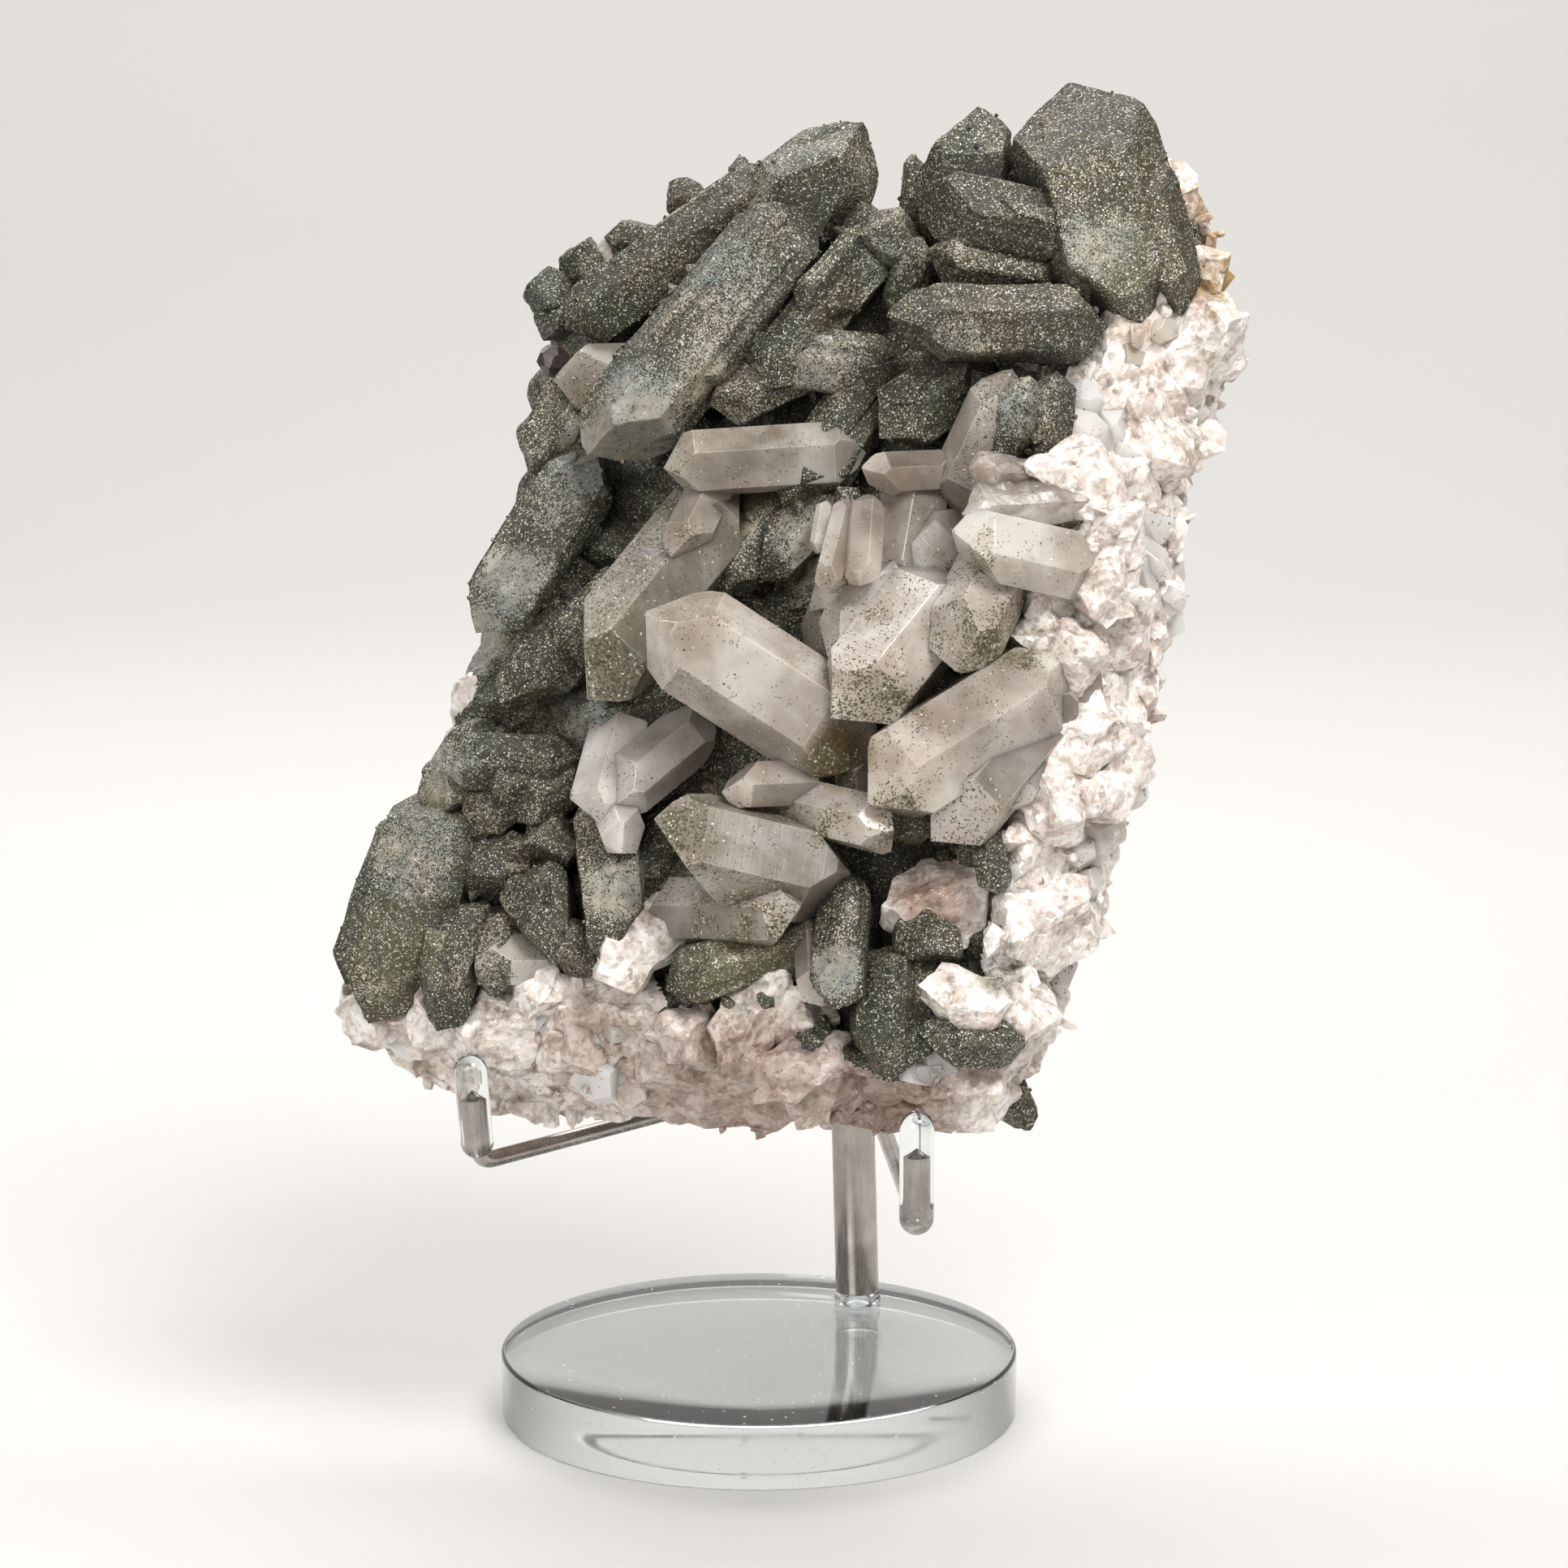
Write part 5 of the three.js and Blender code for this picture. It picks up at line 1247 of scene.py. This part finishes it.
def put_rock(name, skin, material, hollows, smooth, **more):
    """A piece of the cluster, with its colour patches and how closed in each point is."""
    mesh = mesh_of(name, to_stand(skin.points), skin.triangles, smooth)
    if smooth:
        mesh.set_sharp_from_angle(angle=FACE_ANGLE)
    spots = seen(skin.points)
    wander = np.stack([noise(skin.points, 3, 5), noise(skin.points, 3, 6)], axis=1) * 1.6
    spots = spots[:, :2] + wander
    marks = np.stack([patches_at(spots, p) for p in (PALE_PATCHES, TAN_PATCHES, MOSS_PATCHES, ROSE_PATCHES)], axis=1)
    mesh.attributes.new("marks", "FLOAT_COLOR", "POINT").data.foreach_set("color", marks.astype(np.float32).ravel())
    # How closed in each point is. The coat is darkened by it as painted shade; dust and stains gather by it on bare
    # quartz, and green dirt on the matrix.
    near = hollows.at(skin.points + corner_normals(skin) * 0.8)
    numbers(mesh, "closed_in", np.clip((near - 0.3) / 0.55, 0, 1))
    numbers(mesh, "face_lot", skin.lots, "FACE")
    for key, values in more.items():
        numbers(mesh, key, values)
    return put(name, mesh, material, "quartz", "quartz_cluster")


# The cluster's bodies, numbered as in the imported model
rows = [*COATED_CRYSTALS, *CLEAR_CRYSTALS, *MILKY_CRYSTALS, *stray_crystals()]
crystals = [crystal(*place([tip, root]), *more, n + 1) for n, (tip, root, *more) in enumerate(rows)]
first_clear = len(COATED_CRYSTALS)
first_milky = first_clear + len(CLEAR_CRYSTALS)
first_stray = first_milky + len(MILKY_CRYSTALS)
crystals = crystals[: first_stray + STRAYS_ON_PLATE]
filling = [crystal(*place([tip, root]), *more, n + 900) for n, (tip, root, *more) in enumerate(FILLING_CRYSTALS)]
filling_clear = [crystal(*place([tip, root]), *more, n + 950) for n, (tip, root, *more) in enumerate(FILLING_CLEAR)]
coated = crystals[:first_clear] + crystals[first_stray:]
clear = crystals[first_clear:first_milky]
milky = crystals[first_milky:first_stray]
knobs = [lump(place((u, v, w)), KNOB_GROWTH * r, 9, 0.26, n + 1) for n, (u, v, w, r) in enumerate(KNOBS)]
chunks = [lump((u, v, w), r, 9, 0.35, n + 40) for n, (u, v, w, r) in enumerate(CHUNKS)]
chunks += [lump(place((u, v, w)), r, 9, 0.35, n + 54) for n, (u, v, w, r) in enumerate(FILLING_CHUNKS)]
sides = side_crystals(COATED_CRYSTALS, coated[:first_clear], 700)
hollows = Hollows([*crystals, *filling, *filling_clear, *sides, *knobs, *chunks], HOLLOW_SPREAD)


def knob_relief(points):
    return 0.12 * noise(points, 2, 4) + 0.14 * noise(points, 0.9, 5)


coat = chlorite_coat()
rock_crystal = bare_quartz("rock_crystal", ("#c4b4a7", "#d9cbbe", "#ede5db"), (0.24, 0.5), "#f3e6dc")
milky_quartz = bare_quartz("milky_quartz", ("#d1c5ba", "#e7ddd3", "#f6f0ea"), (0.16, 0.42), "#efe2d9")
glassy_quartz = bare_quartz("glassy_quartz", ("#ebe0d6", "#f8f1ea", "#fffdfa"), (0.0, 0.06), "#f4ebe4")
matrix = broken_matrix()

coated_skins = [coated_body(body, 1.15, n) for n, body in enumerate([*coated, *filling])]
put_rock("coated_crystals_upper", joined(coated_skins[:UPPER_CRYSTALS]), coat, hollows, True)
put_rock("coated_crystals_lower", joined(coated_skins[UPPER_CRYSTALS : len(coated)]), coat, hollows, True)
put_rock("coated_crystals_between", joined(coated_skins[len(coated) :]), coat, hollows, True)
side_skins = [coated_body(body, 1.6, n + 90) for n, body in enumerate(sides)]
put_rock("coated_side_crystals", joined(side_skins), coat, hollows, True)
knob_skins = [rounded(body, 0.4, 24, knob_relief, n + 60) for n, body in enumerate(knobs) if n != DARK_BALL]
put_rock("coated_knobs", joined(knob_skins), coat, hollows, True)


def bare_crystals(name, bodies, material, looks):
    """Bare crystals with sharp faces. Dust lies on some faces, more of it on the points than on the sides."""
    skins, along, dust, rim, tone = [], [], [], [], []
    for n, body in enumerate(bodies):
        shattered = material.name == "rock_crystal" and n in BROKEN_TOPS
        skin, face, on_edge = cut_body(body, 0.14, 0.7 if shattered else 2.2, n + 300)
        if shattered:
            skin = broken_up(skin, n + 80, 0.55)
        level, shade = looks.get(n, PLAIN_LOOK)
        on_tip = (face >= 6) & (face < 12)
        skins.append(skin)
        along.append((body.top - skin.points) @ unit(body.top - body.foot))
        dust.append(level * np.where(on_tip, 0.4 + 1.3 * skin.lots, 1.1 * skin.lots))
        # The ground edges are kept so that a painted highlight can be laid along them.
        rim.append(on_edge)
        tone.append(shade * (0.8 + 0.26 * (skin.lots if shattered else scatter(face, n + 340))))
    piece = put_rock(name, joined(skins), material, hollows, False, along=np.concatenate(along))
    for key, values in (("dust", dust), ("rim", rim), ("tone", tone)):
        numbers(piece.data, key, np.concatenate(values), "FACE")


bare_crystals("clear_crystals", [*clear, *filling_clear], rock_crystal, CLEAR_LOOKS)
bare_crystals("milky_crystals", [*milky[:3], milky[4]], milky_quartz, {3: (0.45, 0.8)})


def broken_bodies(bodies, seed, depth):
    return joined([broken_up(cut_body(body, 0, 0.9, seed)[0], seed + n, depth) for n, body in enumerate(bodies)])


put_rock("broken_crystals", broken_bodies((milky[3], *milky[5:]), 91, 0.6), matrix, hollows, False)

plate = matrix_plate()
plate_piece = put_rock("matrix_plate", plate, matrix, hollows, False)
plate_piece.data.materials.append(coat)
green = is_coated(plate.points[plate.triangles].mean(1))
plate_piece.data.polygons.foreach_set("material_index", green.astype(np.int32))
put_rock("matrix_chunks", broken_bodies(chunks, 61, 0.8), matrix, hollows, False)
put_rock("matrix_chips", matrix_chips(plate, CHIPS), matrix, hollows, False)

coated_all = joined([*coated_skins, *side_skins])


def crystal_crust(skin, keep, count, widths, lengths, seed):
    """Small points on chosen places of a skin, each standing out of it."""
    chosen = np.flatnonzero(keep)
    n = np.arange(count)
    at = chosen[(scatter(n, seed) * len(chosen)).astype(int)]
    width = widths[0] + (widths[1] - widths[0]) * scatter(n, seed + 1) ** 2
    length = lengths[0] + (lengths[1] - lengths[0]) * scatter(n, seed + 2) ** 2
    out = corner_normals(skin)[at]
    return small_crystals(skin.points[at] - out * 0.3 * width[:, None], out, width, length, seed + 3)


def off_rose(skin):
    """Which points are seen clear of the bare rose crystal."""
    return np.hypot(*(seen(skin.points)[:, :2] - ROSE_PATCHES[3][:2]).T) > ROSE_CLEARANCE


plate_out = corner_normals(plate)
in_hollow = hollows.at(coated_all.points + corner_normals(coated_all) * 0.8)
near_plate = hollows.at(plate.points + plate_out * 1.5)
in_front = is_coated(plate.points) & (plate_out[:, 2] > 0.5) & (near_plate > 0.52) & (plate.points[:, 2] > -8)
between = (in_hollow > 0.6) & (in_hollow < 0.8) & off_rose(coated_all)
crusts = [
    crystal_crust(plate, in_front & off_rose(plate), CRUST_ON_PLATE, (2.4, 5.4), (3, 8), 800),
    crystal_crust(coated_all, between, CRUST_ON_CRYSTALS, (1, 2.6), (1.6, 4.4), 820),
]
put_rock("coated_crust", joined(crusts), coat, hollows, False)
edge_side = (plate.points[:, 2] < -4) & (plate.points[:, 2] > -24) & (np.abs(plate_out[:, 2]) < 0.8)
edge_side &= (plate.points[:, 0] > 25) | (plate.points[:, 1] < -50)
edge_points = crystal_crust(plate, edge_side, EDGE_POINTS, (1, 2.6), (1.4, 3.4), 840)
put_rock("edge_points", edge_points, matrix, hollows, False)


def matrix_crystals(count, seed):
    """Stout glassy crystals half sunk in the broken edges, most of them on the right."""
    out = corner_normals(plate)
    p = plate.points
    edge = (p[:, 2] < 2) & (p[:, 2] > -20) & (out[:, 2] > -0.4)
    right = (p[:, 0] > 33) & (p[:, 1] > -52)
    below = (p[:, 1] < -53) & (p[:, 2] > -9)
    chosen = np.flatnonzero(edge & (right | below) & ~is_coated(p))
    n = np.arange(count)
    chosen = chosen[(scatter(n, seed) * len(chosen)).astype(int)]
    found = []
    for k, at in zip(n, chosen):
        lot = scatter(k, seed + np.arange(1, 9))
        width = 2.8 + 4 * lot[0] ** 1.4
        way = unit(out[at] + 1.5 * (lot[1:4] - 0.5))
        length = width * (1 + 0.7 * lot[4])
        top = p[at] + way * 0.33 * length
        found.append(crystal(top, top - way * length, width, 60 * lot[5], int(6 * lot[6]), 0, seed + k))
    return found


glassy = matrix_crystals(GLASSY_CRYSTALS, 1400)
glassy_looks = {n: (0.02, 0.94 + 0.14 * scatter(n, 5)) for n in range(GLASSY_CRYSTALS)}
bare_crystals("matrix_crystals", glassy, glassy_quartz, glassy_looks)
put_rock("chlorite_grains", grains_on(coated_all, GRAINS, 0.12, 0.5, 400), coat, hollows, False)

ball = lump(place(KNOBS[DARK_BALL][:3]) + (0.7, 0.2, 1.8), KNOBS[DARK_BALL][3] * KNOB_GROWTH, 26, 0.06, 4)
put_rock("dark_ball", flat_faced(ball, 0.08), dark_crystal(), hollows, False)


# ---- The stand ----

def lathe(profile, sides):
    """A closed shape turned round the upright axis. The profile starts and ends on the axis."""
    profile = np.asarray(profile, float)
    angle = np.arange(sides) / sides * 2 * math.pi
    inner = profile[1:-1]
    ring = np.stack([np.cos(angle), np.sin(angle)], axis=1)
    grid = np.concatenate(
        [inner[:, None, :1] * ring[None], np.broadcast_to(inner[:, None, 1:], (len(inner), sides, 1))], axis=2
    )
    return wrapped(grid, (0, 0, profile[0][1]), (0, 0, profile[-1][1]))


def ring_of(inner, outer, low, high, sides, edge):
    """A tube with softened rims: a closed loop of section points carried round the upright axis."""
    section = np.array([
        (inner, low + edge), (inner + edge, low), (outer - edge, low), (outer, low + edge),
        (outer, high - edge), (outer - edge, high), (inner + edge, high), (inner, high - edge),
    ])
    angle = np.arange(sides) / sides * 2 * math.pi
    points = np.stack([
        section[:, None, 0] * np.cos(angle), section[:, None, 0] * np.sin(angle),
        np.broadcast_to(section[:, None, 1], (8, sides)),
    ], axis=-1)
    number = np.arange(8 * sides).reshape(8, sides)
    a, b = number, np.roll(number, -1, axis=1)
    c, d = np.roll(b, -1, axis=0), np.roll(a, -1, axis=0)
    triangles = np.concatenate([np.stack([a, b, c], -1).reshape(-1, 3), np.stack([a, c, d], -1).reshape(-1, 3)])
    return Skin(points.reshape(-1, 3), triangles)


def quarter(radius, start, steps=6):
    """Points of a quarter turn from one angle, in degrees."""
    angle = np.radians(start + np.arange(steps + 1) / steps * 90)
    return radius * np.stack([np.cos(angle), np.sin(angle)], axis=1)


def base_profile():
    """Half section of the round base: flat below and above, with its two edges rounded by a quarter turn."""
    inset = BASE_RADIUS - BASE_EDGE
    low = quarter(BASE_EDGE, -90) + (inset, BASE_EDGE)
    high = quarter(BASE_EDGE, 0) + (inset, BASE_THICKNESS - BASE_EDGE)
    return [(0, 0), (inset * 0.5, 0), *low, *high, (inset * 0.5, BASE_THICKNESS), (0, BASE_THICKNESS)]


def on_post(points):
    """Moves points from the post's own axis to where it stands, leaning a little to the left."""
    cos, sin = math.cos(POST_LEAN), math.sin(POST_LEAN)
    x, y, z = points.T
    return np.stack([POST_FOOT[0] + x * cos - z * sin, POST_FOOT[1] + y, x * sin + z * cos], axis=1)


def along_post(height, angle, off):
    sideways = -math.tan(POST_LEAN) * height
    return np.array([POST_FOOT[0] + sideways + off * math.cos(angle), POST_FOOT[1] + off * math.sin(angle), height])


def rod(path, radii, sides):
    """A round rod along a path: rings square to the path, each turned as little as it can be from the last."""
    path = np.asarray(path, float)
    ahead = unit(np.gradient(path, axis=0))
    across = unit(np.cross(ahead[0], (0.31, 0.52, 0.11)))
    rings = []
    angle = np.arange(sides) / sides * 2 * math.pi
    for point, forward, radius in zip(path, ahead, radii):
        across = unit(across - forward * (across @ forward))
        second = np.cross(forward, across)
        rings.append(point + radius * (np.cos(angle)[:, None] * across + np.sin(angle)[:, None] * second))
    return wrapped(np.array(rings)[1:-1], path[0], path[-1])


def domed(start, end, radius):
    """Path and radii of a rod with half-round ends: the radius follows a quarter circle at each end."""
    start, end = np.asarray(start, float), np.asarray(end, float)
    ahead = unit(end - start)
    angle = np.linspace(0, math.pi / 2, 10)
    length = np.linalg.norm(end - start)
    first = radius * (1 - np.cos(angle))
    far = np.concatenate([first, np.linspace(radius, length - radius, 12)[1:-1], length - first[::-1]])
    radii = np.concatenate([radius * np.sin(angle), np.full(10, radius), radius * np.sin(angle[::-1])])
    return start + far[:, None] * ahead, radii


def arm_path(slot, corner, end, reach, mouth_height):
    """The wire's middle line: straight runs with a short curve at each corner, from inside the post."""
    low = along_post(POST_TOP - WIRE_DEPTH_IN_POST, slot, WIRE_FROM_POST_AXIS)
    mouth = along_post(mouth_height, slot, WIRE_FROM_POST_AXIS)
    corners = [low, mouth, corner, corner + end * (reach - SLEEVE_PAST_WIRE)]
    path = [low[None]]
    start = low
    for here, after in zip(corners[1:-1], corners[2:]):
        back, ahead = unit(start - here), unit(after - here)
        angle = math.acos(np.clip(back @ ahead, -1, 1))
        setback = WIRE_BEND / math.tan(angle / 2)
        into, out = here + back * setback, here + ahead * setback
        t = np.linspace(0, 1, 13)[:, None]
        path.append(start + (into - start) * np.linspace(0.1, 0.9, 6)[:, None])
        path.append((1 - t) ** 2 * into + 2 * t * (1 - t) * here + t**2 * out)
        start = out
    path.append(start + (corners[-1] - start) * np.linspace(0.2, 1, 5)[:, None])
    return np.concatenate(path)


ARMS = {
    "left": (3.58, (-35.8, -31.5, ARM_HEIGHT), (-math.sin(0.079), 0, math.cos(0.079)), 14.3, 0.6, ARM_HEIGHT),
    "right": (5.67, (19.75, -57.5, ARM_HEIGHT), (0, 0, 1), 13.5, -2.2, ARM_HEIGHT),
    "rear": (1.48, (13.1, 24.5, 99), (0, -1, 0), 24.9, 10.9, POST_TOP + 4),
}

acrylic = clear_acrylic("cast_acrylic", 0.05, 0.02)
collar_plastic = clear_acrylic("clear_collar_plastic", 0.3, 0.12)
sleeving = clear_acrylic("soft_clear_sleeving", 0.02, 0.06)
steel = drawn_steel()


def put_made(name, skin, material, slot, node):
    mesh = mesh_of(name, skin.points, skin.triangles, True)
    mesh.set_sharp_from_angle(angle=math.radians(34))
    return put(name, mesh, material, slot, node)


put_made("round_base", lathe(base_profile(), 144), acrylic, "acrylic", "base_disc")
collar = ring_of(COLLAR_BORE, COLLAR_RADIUS, BASE_THICKNESS, COLLAR_TOP, 64, 0.2)
collar.points = on_post(collar.points)
put_made("foot_collar", collar, collar_plastic, "acrylic", "post_collar")
post = ring_of(POST_BORE, POST_RADIUS, COLLAR_TOP, POST_TOP, 72, 0.12)
post.points = on_post(post.points)
put_made("steel_post", post, steel, "steel", "post_tube")
for side, (slot_angle, corner, end, reach, sleeve_start, mouth_height) in ARMS.items():
    corner, end = np.array(corner, float), np.array(end, float)
    path = arm_path(slot_angle, corner, end, reach, mouth_height)
    wire = rod(path, np.full(len(path), WIRE_RADIUS), 24)
    put_made(f"wire_{side}", wire, steel, "steel", f"arm_{side}")
    path, radii = domed(corner + end * sleeve_start, corner + end * reach, SLEEVE_RADIUS)
    put_made(f"clear_sleeve_{side}", rod(path, radii, 36), sleeving, "sleeving", f"sleeve_{side}")


# ---- Floor, lights and camera ----

FLOOR = -0.00005
TARGET = (0, -0.02, 0.11)
LENS = 114.1
SENSOR = 36
CAMERA_AT = (0.0034, -0.65, 0.2098)
CAMERA_TILT = math.radians(90 - 10.74)


def studio_floor():
    """A pale floor that curves up into a wall far behind: a line, a quarter turn and a line, drawn wide."""
    turn = quarter(0.5, -90, 16)
    line = [(-3, FLOOR), *(turn + (0.7, 0.5 + FLOOR)).tolist(), (1.2, 3)]
    points = [(x, y, z) for y, z in line for x in (-3, 3)]
    faces = [(2 * n, 2 * n + 1, 2 * n + 3, 2 * n + 2) for n in range(len(line) - 1)]
    mesh = bpy.data.meshes.new("studio_floor")
    mesh.from_pydata(points, [], faces)
    mesh.polygons.foreach_set("use_smooth", [True] * len(faces))
    floor = bpy.data.objects.new("studio_floor", mesh)
    bpy.context.scene.collection.objects.link(floor)
    material, tree, output, _ = new_material("pale_floor")
    shader = add(tree, "BsdfPrincipled", {"Base Color": linear("#c4c2bf"), "Roughness": 0.7})
    tree.links.new(shader.outputs[0], output.inputs[0])
    mesh.materials.append(material)


def soft_light(name, at, towards, size, power):
    lamp = bpy.data.lights.new(name, "AREA")
    lamp.shape = "RECTANGLE"
    lamp.size, lamp.size_y = size
    lamp.energy = power
    light = bpy.data.objects.new(name, lamp)
    bpy.context.scene.collection.objects.link(light)
    light.location = at
    light.rotation_euler = (Vector(towards) - Vector(at)).to_track_quat("-Z", "Y").to_euler()


studio_floor()
soft_light("key_light", (0.28, -0.48, 0.76), TARGET, (0.34, 0.34), 6.9)
soft_light("fill_light", (-0.4, -0.75, 0.4), TARGET, (0.5, 0.5), 3.35)
soft_light("back_light", (-0.1, 0.45, 0.6), TARGET, (0.7, 0.4), 2.4)
soft_light("wall_light", (0, 0.3, 1.3), (0, 1.1, 0.3), (1.8, 0.5), 20)
world = bpy.data.worlds.new("soft_room")
world.use_nodes = True
air = world.node_tree.nodes["Background"].inputs
air[0].default_value = linear("#f2efe9")
air[1].default_value = 0.2
bpy.context.scene.world = world

lens = bpy.data.cameras.new("camera")
lens.lens = LENS
lens.sensor_width = SENSOR
camera = bpy.data.objects.new("camera", lens)
bpy.context.scene.collection.objects.link(camera)
camera.location = CAMERA_AT
camera.rotation_euler = (CAMERA_TILT, 0, 0)
bpy.context.scene.camera = camera
bpy.context.scene.view_settings.view_transform = "Standard"
